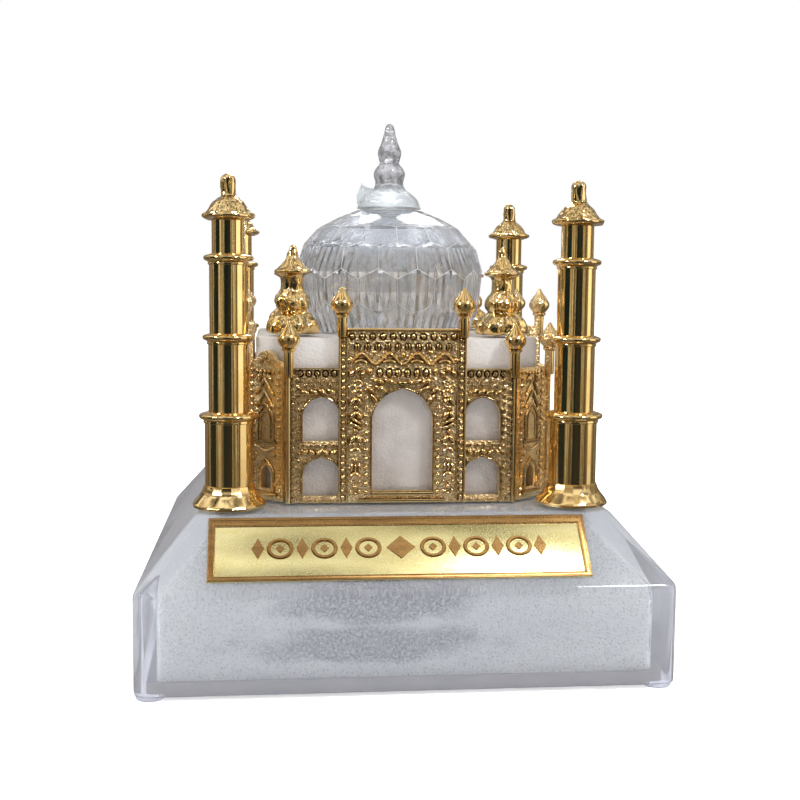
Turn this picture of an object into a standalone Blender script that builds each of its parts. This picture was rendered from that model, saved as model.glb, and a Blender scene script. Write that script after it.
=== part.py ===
"""Miniature domed mausoleum on a hollow clear plinth, with a small light unit under it.

Metres, +Z up, front towards -Y, origin at the middle of the plane the feet stand on.
"""
import math

import bmesh
import bpy
from mathutils import Matrix, Vector

GAP = 0.0003                      # clearance left between pieces that touch
SINK = 0.0002                     # how deep one solid starts in another that it is joined to
OVERCUT = 0.001                   # how far a cutter runs past the face that it cuts

# --- plinth ---------------------------------------------------------------
FOOT_HEIGHT = 0.0006
FOOT_RADIUS = 0.0022
FOOT_OFFSET = 0.0384              # foot centre from the middle, both ways
BASE_HALF = 0.0408                # half the side of the upright wall
WALL_TOP = 0.0158                 # where the slope begins
DECK_TOP = 0.0260                 # where the building stands
DECK_HALF = 0.0322                # half the side of the deck
DECK_THICKNESS = 0.0031
BASE_WALL = 0.0034
BASE_EDGE = 0.0005                # bevel round the foot of the wall
CORNER_RADIUS = 0.0017
INNER_DECK_HALF = 0.0291          # half the side of the hollow, under the deck
INNER_SHOULDER = 0.0142           # where the hollow begins to slope in
LIGHT_WELL_HALF = 0.0175          # square hole in the deck under the building
REBATE_HALF = 0.0389              # seat of the bottom plate
REBATE_TOP = 0.0025
PLATE_BOTTOM = 0.0010
PLATE_TOP = 0.0022
CORNER_STEPS = 4

# --- building -------------------------------------------------------------
FACADE_PLANE = 0.02505            # front face of a facade from the middle
FACADE_THICKNESS = 0.0013
FACADE_HALF = 0.0182              # half the width of a facade
PORTAL_HALF = 0.0097              # half the width of the raised portal
BAY_TOP = 0.0478
PORTAL_TOP = 0.0541
BLOCK_HALF = 0.0232               # clear inner block
BLOCK_TOP = 0.0525
BLOCK_WALL = 0.0018
CHAMFER_PLANE = 0.0306            # outer face of a corner panel from the middle
CORNER_PANEL_HALF = 0.0036
CORNER_PANEL_THICKNESS = 0.0012
CREST = 0.0026                    # height of the cusped crest on two of the corner panels
ROOF_HOLE_RADIUS = 0.0120

MAIN_ARCH = dict(centre=0.0, half=0.0048, bottom=0.0282, spring=0.0394, apex=0.0446, haunch=70)
WINDOW_OFFSET = 0.0129
UPPER_WINDOW = dict(half=0.00285, bottom=0.0362, spring=0.0402, apex=0.0432, haunch=75)
LOWER_WINDOW = dict(half=0.00285, bottom=0.0274, spring=0.0309, apex=0.0336, haunch=72)
CORNER_ARCH = dict(centre=0.0, half=0.0011, bottom=0.0282, spring=0.0304, apex=0.0320, haunch=45)

POST_RADIUS = 0.0008
POST_ROOT = 0.0015                # how far a post runs down the panel's face
POST_PLANE = 0.0253               # post centres from the middle
BUD_RADIUS = 0.0018
BUD_HEIGHT = 0.0044
PORTAL_BUD_TOP = 0.0606
BAY_BUD_TOP = 0.0551
BAY_POST_OFFSET = 0.0180
POST_SIDES = 10

# --- towers, kiosks, dome -------------------------------------------------
MINARET_OFFSET = 0.0272
MINARET_SIDES = 16
PEG_RADIUS = 0.0014
PEG_LENGTH = 0.0022
KIOSK_OFFSET = 0.01725
KIOSK_SIDES = 12
KIOSK_PEG_RADIUS = 0.0010
KIOSK_PEG_LENGTH = 0.0013
DOME_SIDES = 32
DOME_WALL = 0.0016
DOME_TOP = 0.0739
DOME_MOUTH = 0.0040               # radius where the hollow ends under the finial
DOME_OUTLINE = [(0.0161, 0.0569), (0.0166, 0.0600), (0.0167, 0.0630), (0.0160, 0.0659),
                (0.0145, 0.0684), (0.0120, 0.0708), (0.0088, 0.0726)]
DOME_FOOT_RADIUS = 0.0145
DOME_TOP_RADIUS = 0.0058
FINIAL_PEG_LENGTH = 0.0014
FINIAL_SIDES = 14

# --- label on the front slope ---------------------------------------------
LABEL_WIDTH = 0.0576
LABEL_LENGTH = 0.0106             # along the slope
LABEL_SHIFT = -0.0013             # it was stuck on a little left of the middle
LABEL_THICKNESS = 0.0005
LABEL_CENTRE = 0.54               # share of the slope's length, from its foot
LABEL_BORDER = 0.0011
LABEL_BORDER_RISE = 0.00015

# --- light unit under the building ----------------------------------------
HOUSING_HALF_X = 0.0220
HOUSING_HALF_Y = 0.0160
HOUSING_TOP = 0.0121
HOUSING_WALL = 0.0014
HOUSING_EAR_Y = 0.0190
CELL_RADIUS = 0.0058              # LR44 button cell
CELL_HEIGHT = 0.0054
CELL_PITCH = 0.0122
CELL_Y = 0.0055
CELL_BOTTOM = 0.0029
STRIP_THICKNESS = 0.00021
BOARD_BOTTOM = 0.0093
BOARD_TOP = 0.0103
BOARD_HALF_X = 0.0190
BOARD_HALF_Y = 0.0120
STRIP_HALF_Y = 0.0022
LED_RADIUS = 0.0025
LED_FLANGE_RADIUS = 0.0029
LED_FLANGE = 0.0010
LED_TOP = 0.0182
SCREW_RADIUS = 0.0009
SCREW_HEAD_RADIUS = 0.0018
SCREW_HEAD = 0.0006               # height of a screw's head
SCREW_POINT = 0.0007              # length of a screw's tapered point
EAR_HALF_X = 0.0032               # ears that hold the housing down
EAR_HALF_Y = 0.0038
EAR_THICKNESS = 0.0016
DOOR_HALF_X = 0.0190
DOOR_HALF_Y = 0.0067
DOOR_EAR_END = 0.0290
DOOR_SCREW_X = 0.0262
DOOR_SCREW_TIP = 0.0048
DOOR_EAR_HALF_Y = 0.0032
DOOR_EAR_THICKNESS = 0.0005
BOSS_RADIUS = 0.0024              # boss that the hatch's screw bites into
BOSS_TOP = 0.0060
BOSS_HOLE_TOP = 0.0055
SWITCH_Y = -0.0085
SWITCH_TRAVEL = 0.0030
SWITCH_HALF_X = 0.0043
SWITCH_HALF_Y = 0.0022
SWITCH_HEIGHT = 0.0036
SWITCH_ROOM = (0.0034, 0.0014, 0.0020)      # half length, half width and height
SLOT_HALF_X = 0.0033
SLOT_HALF_Y = 0.0013
KNOB_HALF_X = 0.0010
KNOB_HALF_Y = 0.0009
KNOB_TIP = 0.0003
SLIDER_HALF_X = 0.0016
SLIDER_HALF_Y = 0.0011
SLIDER_HEIGHT = 0.0012

CORNERS = {(-1, -1): "front_left", (1, -1): "front_right", (1, 1): "back_right",
           (-1, 1): "back_left"}
COLOURS = {                       # colour, roughness, metallic
    "clear": ((0.78, 0.80, 0.86, 1.0), 0.08, 0.0),
    "frosted": ((0.82, 0.83, 0.86, 1.0), 0.45, 0.0),
    "gold": ((0.83, 0.55, 0.16, 1.0), 0.12, 1.0),
    "foil": ((0.86, 0.74, 0.36, 1.0), 0.25, 1.0),
    "backing": ((0.30, 0.27, 0.24, 1.0), 0.60, 0.0),
    "white": ((0.85, 0.85, 0.83, 1.0), 0.40, 0.0),
    "black": ((0.03, 0.03, 0.03, 1.0), 0.45, 0.0),
    "board": ((0.04, 0.22, 0.10, 1.0), 0.40, 0.0),
    "steel": ((0.70, 0.70, 0.70, 1.0), 0.25, 1.0),
}


def material(name):
    """The named material, made the first time it is asked for."""
    found = bpy.data.materials.get(name)
    if found:
        return found
    colour, roughness, metallic = COLOURS[name]
    made = bpy.data.materials.new(name)
    made.use_nodes = True
    shader = made.node_tree.nodes["Principled BSDF"]
    shader.inputs["Base Color"].default_value = colour
    shader.inputs["Roughness"].default_value = roughness
    shader.inputs["Metallic"].default_value = metallic
    return made


def place(name, mesh, finish, matrix=None):
    """Put a mesh in the scene as a named object."""
    obj = bpy.data.objects.new(name, mesh)
    bpy.context.collection.objects.link(obj)
    if not mesh.materials:
        mesh.materials.append(material(finish))
    if matrix is not None:
        obj.matrix_world = matrix
    return obj


def to_mesh(bm, name, smooth_angle=40.0):
    """Close a bmesh into a mesh with outward faces and sharp edges kept."""
    bmesh.ops.recalc_face_normals(bm, faces=bm.faces)
    mesh = bpy.data.meshes.new(name)
    bm.to_mesh(mesh)
    bm.free()
    mesh.shade_smooth()
    mesh.set_sharp_from_angle(angle=math.radians(smooth_angle))
    return mesh


def turned(profile, sides, name):
    """A solid turned about Z from (radius, height) points that start and end on the axis."""
    bm = bmesh.new()
    verts = [bm.verts.new((r, 0, z)) for r, z in profile]
    edges = [bm.edges.new(pair) for pair in zip(verts, verts[1:])]
    bmesh.ops.spin(bm, geom=verts + edges, cent=(0, 0, 0), axis=(0, 0, 1),
                   angle=2 * math.pi, steps=sides, use_merge=True, use_duplicate=False)
    bmesh.ops.remove_doubles(bm, verts=bm.verts, dist=1e-6)
    return to_mesh(bm, name)


def solid(loops, depth, name):
    """Fill 2-D loops (the first the outline, the rest its holes) and extrude them along +Z."""
    bm = bmesh.new()
    edges = []
    for loop in loops:
        verts = [bm.verts.new((x, y, 0)) for x, y in loop]
        edges += [bm.edges.new((verts[i - 1], verts[i])) for i in range(len(verts))]
    bmesh.ops.triangle_fill(bm, use_beauty=True, edges=edges)
    faces = list(bm.faces)
    extruded = bmesh.ops.extrude_face_region(bm, geom=faces)
    top = [v for v in extruded["geom"] if isinstance(v, bmesh.types.BMVert)]
    bmesh.ops.translate(bm, verts=top, vec=(0, 0, depth))
    return to_mesh(bm, name)


def prism(loops, low, high, name):
    """An upright solid between two heights."""
    mesh = solid(loops, high - low, name)
    mesh.transform(Matrix.Translation((0, 0, low)))
    return mesh


def rectangle(half_x, half_y, x=0.0, y=0.0):
    """Corners of a rectangle about (x, y)."""
    return [(x - half_x, y - half_y), (x + half_x, y - half_y),
            (x + half_x, y + half_y), (x - half_x, y + half_y)]


def circle(radius, sides, x=0.0, y=0.0):
    """Points of a circle about (x, y)."""
    angles = [2 * math.pi * i / sides for i in range(sides)]
    return [(x + radius * math.cos(a), y + radius * math.sin(a)) for a in angles]


def box(half_x, half_y, low, high, x=0.0, y=0.0, name="box"):
    """A box between two heights, about (x, y)."""
    return prism([rectangle(half_x, half_y, x, y)], low, high, name)


def rod(radius, low, high, x=0.0, y=0.0, sides=14, name="rod"):
    """An upright round rod between two heights."""
    return prism([circle(radius, sides, x, y)], low, high, name)


def combined(base, tools, operation, name):
    """A base mesh with each tool mesh cut from it or joined to it."""
    obj = place(name + "_work", base, "clear")
    helpers = []
    for tool in tools:
        helper = place(name + "_tool", tool, "clear")
        helper.hide_render = True
        helper.display_type = "WIRE"
        helpers.append(helper)
        modifier = obj.modifiers.new("step", "BOOLEAN")
        modifier.operation = operation
        modifier.solver = "EXACT"
        modifier.object = helper
    graph = bpy.context.evaluated_depsgraph_get()
    mesh = bpy.data.meshes.new_from_object(obj.evaluated_get(graph))
    for used in [obj] + helpers:
        bpy.data.objects.remove(used)
    mesh.name = name
    mesh.materials.clear()
    return mesh


# --- plinth ---------------------------------------------------------------
def rounded_square(half, radius, height):
    """A ring of points: a square with round corners at one height."""
    points = []
    for quarter in range(4):
        start = quarter * math.pi / 2
        corner = Vector((half - radius, half - radius, 0))
        corner.rotate(Matrix.Rotation(start, 3, "Z"))
        for step in range(CORNER_STEPS + 1):
            angle = start + step / CORNER_STEPS * math.pi / 2
            points.append((corner.x + radius * math.cos(angle),
                           corner.y + radius * math.sin(angle), height))
    return points


def base_shell():
    """Hollow plinth: upright wall, sloped shoulder, deck with its light well and peg holes."""
    edge = BASE_EDGE
    deck_under = DECK_TOP - DECK_THICKNESS
    inner_half = BASE_HALF - BASE_WALL
    rings = [
        (BASE_HALF - edge, CORNER_RADIUS - edge, FOOT_HEIGHT),
        (BASE_HALF, CORNER_RADIUS, FOOT_HEIGHT + edge),
        (BASE_HALF, CORNER_RADIUS, WALL_TOP),
        (DECK_HALF, CORNER_RADIUS, DECK_TOP),
        (LIGHT_WELL_HALF, CORNER_RADIUS, DECK_TOP),
        (LIGHT_WELL_HALF, CORNER_RADIUS, deck_under),
        (INNER_DECK_HALF, CORNER_RADIUS, deck_under),
        (inner_half, CORNER_RADIUS, INNER_SHOULDER),
        (inner_half, CORNER_RADIUS, REBATE_TOP),
        (REBATE_HALF, CORNER_RADIUS, REBATE_TOP),
        (REBATE_HALF, CORNER_RADIUS, FOOT_HEIGHT),
    ]
    bm = bmesh.new()
    loops = [[bm.verts.new(p) for p in rounded_square(*ring)] for ring in rings]
    count = len(loops[0])
    for lower, upper in zip(loops, loops[1:] + loops[:1]):
        for i in range(count):
            j = (i + 1) % count
            bm.faces.new((lower[i], lower[j], upper[j], upper[i]))
    shell = to_mesh(bm, "base_shell", 25.0)
    feet = [rod(FOOT_RADIUS, 0.0, FOOT_HEIGHT + SINK, x * FOOT_OFFSET, y * FOOT_OFFSET, 12)
            for x, y in CORNERS]
    shell = combined(shell, feet, "UNION", "base_shell")
    holes = [rod(PEG_RADIUS + GAP, DECK_TOP - PEG_LENGTH - GAP, DECK_TOP + OVERCUT,
                 x * MINARET_OFFSET, y * MINARET_OFFSET) for x, y in CORNERS]
    place("base_shell", combined(shell, holes, "DIFFERENCE", "base_shell"), "clear")


def bottom_plate():
    """Plate pressed into the rebate, with the battery hatch, switch slot and screw holes."""
    half = REBATE_HALF - GAP
    hatch = rectangle(DOOR_HALF_X + GAP, DOOR_HALF_Y + GAP, 0, CELL_Y)
    slot = rectangle(SLOT_HALF_X, SLOT_HALF_Y, 0, SWITCH_Y)
    outline = [point[:2] for point in rounded_square(half, CORNER_RADIUS, 0)]
    plate = prism([outline, hatch, slot], PLATE_BOTTOM, PLATE_TOP, "bottom_plate")
    boss = rod(BOSS_RADIUS, PLATE_TOP - SINK, BOSS_TOP, DOOR_SCREW_X, CELL_Y)
    plate = combined(plate, [boss], "UNION", "bottom_plate")
    ear_half = (DOOR_EAR_END + GAP - DOOR_HALF_X) / 2
    ear_pocket = box(ear_half, DOOR_EAR_HALF_Y + GAP, 0.0, PLATE_BOTTOM + DOOR_EAR_THICKNESS + GAP,
                     DOOR_HALF_X + ear_half, CELL_Y)
    screw_hole = rod(SCREW_RADIUS + GAP, 0.0, BOSS_HOLE_TOP, DOOR_SCREW_X, CELL_Y)
    cuts = [ear_pocket, screw_hole]
    for side in (-1, 1):
        cuts.append(rod(SCREW_RADIUS + GAP, PLATE_BOTTOM + SINK, PLATE_TOP + OVERCUT,
                        0, side * HOUSING_EAR_Y))
    mesh = combined(plate, cuts, "DIFFERENCE", "bottom_plate")
    place("bottom_plate", mesh, "backing")


def label_plate():
    """Thin foil plate lying on the front slope, with a raised border."""
    foot = Vector((0, -BASE_HALF, WALL_TOP))
    top = Vector((0, -DECK_HALF, DECK_TOP))
    along = (top - foot).normalized()
    outward = Vector((1, 0, 0)).cross(along)
    outline = rectangle(LABEL_WIDTH / 2, LABEL_LENGTH / 2)
    inside = rectangle(LABEL_WIDTH / 2 - LABEL_BORDER, LABEL_LENGTH / 2 - LABEL_BORDER)
    plate = prism([outline], GAP, LABEL_THICKNESS, "label_plate")
    border = prism([outline, inside], LABEL_THICKNESS - SINK / 2, LABEL_THICKNESS + LABEL_BORDER_RISE,
                   "border")
    mesh = combined(plate, [border], "UNION", "label_plate")
    turn = Matrix((Vector((1, 0, 0)), along, outward)).transposed().to_4x4()
    middle = foot.lerp(top, LABEL_CENTRE) + Vector((LABEL_SHIFT, 0, 0))
    mesh.transform(Matrix.Translation(middle) @ turn)
    place("label_plate", mesh, "foil")


# --- building -------------------------------------------------------------
def pointed_arch(half, bottom, spring, apex, haunch, centre=0.0, steps=4):
    """Outline of an arched opening: upright sides, round haunches, straight lines to the apex."""
    phi = math.radians(haunch)
    cot = 1 / math.tan(phi)
    radius = (apex - spring - half * cot) / (math.sin(phi) + (math.cos(phi) - 1) * cot)
    right = []
    for step in range(steps + 1):
        angle = phi * step / steps
        right.append((half - radius + radius * math.cos(angle), spring + radius * math.sin(angle)))
    left = [(-x, z) for x, z in reversed(right)]
    points = [(-half, bottom), (half, bottom)] + right + [(0, apex)] + left
    return [(centre + x, z) for x, z in points]


def upright(mesh):
    """Stand a mesh drawn in XY on its edge, so that Y becomes height and its face looks to -Y."""
    mesh.transform(Matrix.Rotation(math.pi / 2, 4, "X"))
    return mesh


def post(x, y, low, bud_top):
    """Slim post with a pointed bud on a collar, rising from a panel's top edge."""
    r = POST_RADIUS
    bud_low = bud_top - BUD_HEIGHT
    profile = [(0, low), (r, low), (r, bud_low - 0.0006), (r * 1.45, bud_low - 0.0003),
               (r * 1.45, bud_low), (r, bud_low + 0.0002), (BUD_RADIUS * 0.8, bud_low + 0.0010),
               (BUD_RADIUS, bud_low + 0.0018), (BUD_RADIUS * 0.72, bud_low + 0.0027),
               (BUD_RADIUS * 0.28, bud_low + 0.0036), (0, bud_top)]
    mesh = turned(profile, POST_SIDES, "post")
    mesh.transform(Matrix.Translation((x, y, 0)))
    return mesh


def facades():
    """Four facades: two bays and a raised portal, pierced by an arch and four windows."""
    low = DECK_TOP + GAP
    half = FACADE_HALF
    outline = [(-half, low), (half, low), (half, BAY_TOP), (PORTAL_HALF, BAY_TOP),
               (PORTAL_HALF, PORTAL_TOP), (-PORTAL_HALF, PORTAL_TOP), (-PORTAL_HALF, BAY_TOP),
               (-half, BAY_TOP)]
    openings = [pointed_arch(**MAIN_ARCH)]
    for side in (-1, 1):
        for window in (UPPER_WINDOW, LOWER_WINDOW):
            openings.append(pointed_arch(centre=side * WINDOW_OFFSET, **window))
    panel = upright(solid([outline] + openings, FACADE_THICKNESS, "facade"))
    panel.transform(Matrix.Translation((0, -FACADE_PLANE + FACADE_THICKNESS, 0)))
    posts = []
    for side in (-1, 1):
        posts.append(post(side * PORTAL_HALF, -POST_PLANE, PORTAL_TOP - POST_ROOT, PORTAL_BUD_TOP))
        posts.append(post(side * BAY_POST_OFFSET, -POST_PLANE, BAY_TOP - POST_ROOT, BAY_BUD_TOP))
    mesh = combined(panel, posts, "UNION", "facade")
    for i, side in enumerate(("front", "right", "back", "left")):
        place("facade_" + side, mesh, "gold", Matrix.Rotation(i * math.pi / 2, 4, "Z"))


def corner_panels():
    """Four narrow panels across the cut corners, each with a small arched opening.

    The panels at the left front and right back carry a cusped crest, the other two end straight.
    """
    half = CORNER_PANEL_HALF
    foot = [(-half, DECK_TOP + GAP), (half, DECK_TOP + GAP)]
    straight = [(half, BAY_TOP), (-half, BAY_TOP)]
    right = [(half, BAY_TOP), (half * 0.9, BAY_TOP + CREST * 0.35),
             (half * 0.55, BAY_TOP + CREST * 0.45), (half * 0.4, BAY_TOP + CREST * 0.8)]
    crested = right + [(0, BAY_TOP + CREST)] + [(-x, z) for x, z in reversed(right)]
    for i, corner in enumerate(("front_right", "back_right", "back_left", "front_left")):
        top = crested if i % 2 else straight
        mesh = upright(solid([foot + top, pointed_arch(**CORNER_ARCH)], CORNER_PANEL_THICKNESS,
                             "corner_panel"))
        mesh.transform(Matrix.Translation((0, -CHAMFER_PLANE + CORNER_PANEL_THICKNESS, 0)))
        turn = Matrix.Rotation((i + 0.5) * math.pi / 2, 4, "Z")
        place("corner_panel_" + corner, mesh, "gold", turn)


def octagon(half, plane):
    """Square of the given half side with corners cut at the given distance from the middle."""
    short = plane * math.sqrt(2) - half
    quarter = [(half, -short), (half, short)]
    points = []
    for i in range(4):
        turn = Matrix.Rotation(i * math.pi / 2, 2)
        points += [tuple(turn @ Vector(p)) for p in quarter]
    return points


def inner_block():
    """Clear hollow block behind the facades, open below, with a round hole under the dome."""
    plane = CHAMFER_PLANE - CORNER_PANEL_THICKNESS - 0.0004
    low = DECK_TOP + GAP
    outer = prism([octagon(BLOCK_HALF, plane)], low, BLOCK_TOP, "inner_block")
    room = prism([octagon(BLOCK_HALF - BLOCK_WALL, plane - BLOCK_WALL)],
                 low - OVERCUT, BLOCK_TOP - BLOCK_WALL, "room")
    hole = rod(ROOF_HOLE_RADIUS, BLOCK_TOP - 2 * BLOCK_WALL, BLOCK_TOP + OVERCUT, sides=24)
    pegs = [rod(KIOSK_PEG_RADIUS + GAP, BLOCK_TOP - KIOSK_PEG_LENGTH - GAP, BLOCK_TOP + OVERCUT,
                x * KIOSK_OFFSET, y * KIOSK_OFFSET, 10) for x, y in CORNERS]
    mesh = combined(outer, [room, hole] + pegs, "DIFFERENCE", "inner_block")
    place("inner_block", mesh, "frosted")


# --- towers, kiosks, dome -------------------------------------------------
def ring(radius, height, proud, half_height):
    """Profile points of a rounded collar that stands proud of a shaft."""
    return [(radius, height - half_height * 1.4), (radius + proud, height - half_height * 0.5),
            (radius + proud, height + half_height * 0.5)]


def minarets():
    """Four towers: faceted foot, three balcony rings, capped lantern and pin."""
    low = DECK_TOP + GAP
    profile = [(0, low - PEG_LENGTH), (PEG_RADIUS, low - PEG_LENGTH), (PEG_RADIUS, low),
               (0.0055, low), (0.0053, low + 0.0006), (0.0040, low + 0.0030)]
    profile += ring(0.00375, 0.0406, 0.0008, 0.0007) + [(0.00315, 0.0414)]
    profile += ring(0.00315, 0.0527, 0.0009, 0.0006) + [(0.00295, 0.0535)]
    profile += ring(0.00295, 0.0648, 0.0009, 0.0006) + [(0.0026, 0.0656)]
    profile += [(0.0026, 0.0699), (0.0041, 0.0709), (0.0041, 0.0713), (0.0031, 0.0728),
                (0.0017, 0.0740), (0.0012, 0.0742), (0.0012, 0.0769), (0.0007, 0.0774),
                (0, 0.0775)]
    mesh = turned(profile, MINARET_SIDES, "minaret")
    for x, y in CORNERS:
        spot = Matrix.Translation((x * MINARET_OFFSET, y * MINARET_OFFSET, 0))
        place("minaret_" + CORNERS[x, y], mesh, "gold", spot)


def kiosks():
    """Four roof kiosks: bell foot, bulb, shaft, brim and pointed hat."""
    low = BLOCK_TOP + GAP
    profile = [(0, low - KIOSK_PEG_LENGTH), (KIOSK_PEG_RADIUS, low - KIOSK_PEG_LENGTH),
               (KIOSK_PEG_RADIUS, low), (0.0042, low), (0.0042, low + 0.0012),
               (0.0033, low + 0.0027), (0.0020, low + 0.0037), (0.0027, low + 0.0048),
               (0.0027, low + 0.0058), (0.0018, low + 0.0070), (0.00175, 0.0624),
               (0.00305, 0.0632), (0.00305, 0.0636), (0.0014, 0.0651), (0.0007, 0.0661),
               (0, 0.0673)]
    mesh = turned(profile, KIOSK_SIDES, "kiosk")
    for x, y in CORNERS:
        spot = Matrix.Translation((x * KIOSK_OFFSET, y * KIOSK_OFFSET, 0))
        place("kiosk_" + CORNERS[x, y], mesh, "gold", spot)


def dome():
    """Clear onion dome, hollow and open below, with a hole for the finial's peg."""
    low = BLOCK_TOP + GAP
    outer = [(DOME_FOOT_RADIUS, low)] + DOME_OUTLINE + [(DOME_TOP_RADIUS, DOME_TOP)]
    inner = [(r - DOME_WALL * (1.0 if z < 0.067 else 0.85), z - (0 if z < 0.064 else DOME_WALL * 0.9))
             for r, z in outer]
    inner[0] = (outer[0][0] - DOME_WALL, low - OVERCUT)
    inner[-1] = (DOME_MOUTH, DOME_TOP - DOME_WALL)
    body = turned([(0, low)] + outer + [(0, DOME_TOP)], DOME_SIDES, "dome")
    room = turned([(0, low - OVERCUT)] + inner + [(0, DOME_TOP - DOME_WALL)], DOME_SIDES, "room")
    hole = rod(PEG_RADIUS + GAP, DOME_TOP - 2 * DOME_WALL, DOME_TOP + OVERCUT)
    place("dome", combined(body, [room, hole], "DIFFERENCE", "dome"), "clear")


def finial():
    """Clear lotus cap with two bulbs and a spike, pegged into the dome."""
    low = DOME_TOP + GAP
    foot = low - FINIAL_PEG_LENGTH
    profile = [(0, foot), (PEG_RADIUS, foot), (PEG_RADIUS, low), (DOME_TOP_RADIUS, low),
               (0.0055, 0.0748), (0.0053, 0.0756), (0.0036, 0.0770), (0.0025, 0.0788),
               (0.0028, 0.0804), (0.0026, 0.0813), (0.0017, 0.0822), (0.0021, 0.0841),
               (0.0018, 0.0850), (0.0013, 0.0858), (0.0008, 0.0875), (0.0004, 0.0889),
               (0, 0.0892)]
    place("finial", turned(profile, FINIAL_SIDES, "finial"), "clear")


# --- light unit -----------------------------------------------------------
def light_housing():
    """White box over the cells and board, with an opening for the lamp and two screwed ears."""
    low = PLATE_TOP + GAP
    outer = box(HOUSING_HALF_X, HOUSING_HALF_Y, low, HOUSING_TOP)
    ear_y = HOUSING_HALF_Y + EAR_HALF_Y - OVERCUT
    ears = [box(EAR_HALF_X, EAR_HALF_Y, low, low + EAR_THICKNESS, 0, side * ear_y) for side in (-1, 1)]
    shell = combined(outer, ears, "UNION", "light_housing")
    room = box(HOUSING_HALF_X - HOUSING_WALL, HOUSING_HALF_Y - HOUSING_WALL,
               low - OVERCUT, HOUSING_TOP - HOUSING_WALL)
    lamp_hole = rod(LED_RADIUS + 2 * GAP, HOUSING_TOP - 2 * HOUSING_WALL, HOUSING_TOP + OVERCUT)
    ear_holes = [rod(SCREW_RADIUS + GAP, low - OVERCUT, low + EAR_THICKNESS + OVERCUT,
                     0, side * HOUSING_EAR_Y) for side in (-1, 1)]
    mesh = combined(shell, [room, lamp_hole] + ear_holes, "DIFFERENCE", "light_housing")
    place("light_housing", mesh, "white")


def screw(name, x, y, under_head, tip):
    """Pan-head screw; under_head above tip stands upright, below it hangs head down."""
    sign = 1 if under_head > tip else -1
    shank, wide = SCREW_RADIUS, SCREW_HEAD_RADIUS
    head = under_head + sign * SCREW_HEAD
    profile = [(0, tip), (shank * 0.5, tip), (shank, tip + sign * SCREW_POINT),
               (shank, under_head), (wide, under_head),
               (wide, under_head + sign * SCREW_HEAD / 2), (wide * 0.6, head), (0, head)]
    mesh = turned(profile, 12, "screw")
    place(name, mesh, "steel", Matrix.Translation((x, y, 0)))


def button_cells():
    """Three button cells lying side by side."""
    top = CELL_BOTTOM + CELL_HEIGHT
    profile = [(0, CELL_BOTTOM), (CELL_RADIUS, CELL_BOTTOM), (CELL_RADIUS, top - 0.0008),
               (CELL_RADIUS - 0.0009, top - 0.0003), (CELL_RADIUS - 0.0010, top), (0, top)]
    mesh = turned(profile, 20, "button_cell")
    for i in range(3):
        spot = Matrix.Translation(((i - 1) * CELL_PITCH, CELL_Y, 0))
        place("button_cell_%d" % (i + 1), mesh, "steel", spot)


def contacts():
    """Strips that join the cells in series: two bridges and two end contacts."""
    under = CELL_BOTTOM - GAP - STRIP_THICKNESS
    over = CELL_BOTTOM + CELL_HEIGHT + GAP
    strips = (("contact_bridge_top", 0.5, 1.5, over), ("contact_bridge_bottom", -0.5, 1.5, under),
              ("contact_end_top", -1.0, 0.7, over), ("contact_end_bottom", 1.0, 0.7, under))
    for name, place_x, length, z in strips:
        x = place_x * CELL_PITCH
        half = length * CELL_PITCH / 2
        strip = box(half, STRIP_HALF_Y, z, z + STRIP_THICKNESS, x, CELL_Y)
        place(name, strip, "steel")


def circuit_board():
    """Board above the cells, carrying the lamp."""
    place("circuit_board", box(BOARD_HALF_X, BOARD_HALF_Y, BOARD_BOTTOM, BOARD_TOP), "board")


def lamp():
    """Five-millimetre lamp standing on the board."""
    low = BOARD_TOP + GAP
    shoulder = LED_TOP - LED_RADIUS
    rim = low + LED_FLANGE
    profile = [(0, low), (LED_FLANGE_RADIUS, low), (LED_FLANGE_RADIUS, rim), (LED_RADIUS, rim),
               (LED_RADIUS, shoulder)]
    for step in range(1, 4):
        angle = step * math.pi / 8
        profile.append((LED_RADIUS * math.cos(angle), shoulder + LED_RADIUS * math.sin(angle)))
    profile.append((0, LED_TOP))
    place("lamp", turned(profile, 14, "lamp"), "clear")


def switch():
    """Slide switch: a body on the plate, and a knob that reaches down through the slot."""
    low = PLATE_TOP + GAP
    room_x, room_y, room_height = SWITCH_ROOM
    body = box(SWITCH_HALF_X, SWITCH_HALF_Y, low, low + SWITCH_HEIGHT, 0, SWITCH_Y)
    room = box(room_x, room_y, low - OVERCUT, low + room_height, 0, SWITCH_Y)
    place("switch_body", combined(body, [room], "DIFFERENCE", "switch_body"), "black")
    start = -SWITCH_TRAVEL / 2
    slider_low = low + GAP
    knob = box(KNOB_HALF_X, KNOB_HALF_Y, KNOB_TIP, slider_low + SINK / 2)
    slider = box(SLIDER_HALF_X, SLIDER_HALF_Y, slider_low, slider_low + SLIDER_HEIGHT)
    mesh = combined(knob, [slider], "UNION", "switch_knob")
    place("switch_knob", mesh, "black", Matrix.Translation((start, SWITCH_Y, 0)))


def battery_door():
    """Hatch under the cells, flush with the plate, with a thin ear for its screw."""
    slab = box(DOOR_HALF_X, DOOR_HALF_Y, PLATE_BOTTOM, PLATE_TOP - GAP, 0, CELL_Y)
    ear_half = (DOOR_EAR_END - DOOR_HALF_X + OVERCUT) / 2
    ear = box(ear_half, DOOR_EAR_HALF_Y, PLATE_BOTTOM, PLATE_BOTTOM + DOOR_EAR_THICKNESS,
              DOOR_EAR_END - ear_half, CELL_Y)
    door = combined(slab, [ear], "UNION", "battery_door")
    hole = rod(SCREW_RADIUS + GAP, 0.0, PLATE_TOP + OVERCUT, DOOR_SCREW_X, CELL_Y)
    place("battery_door", combined(door, [hole], "DIFFERENCE", "battery_door"), "backing")


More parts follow.
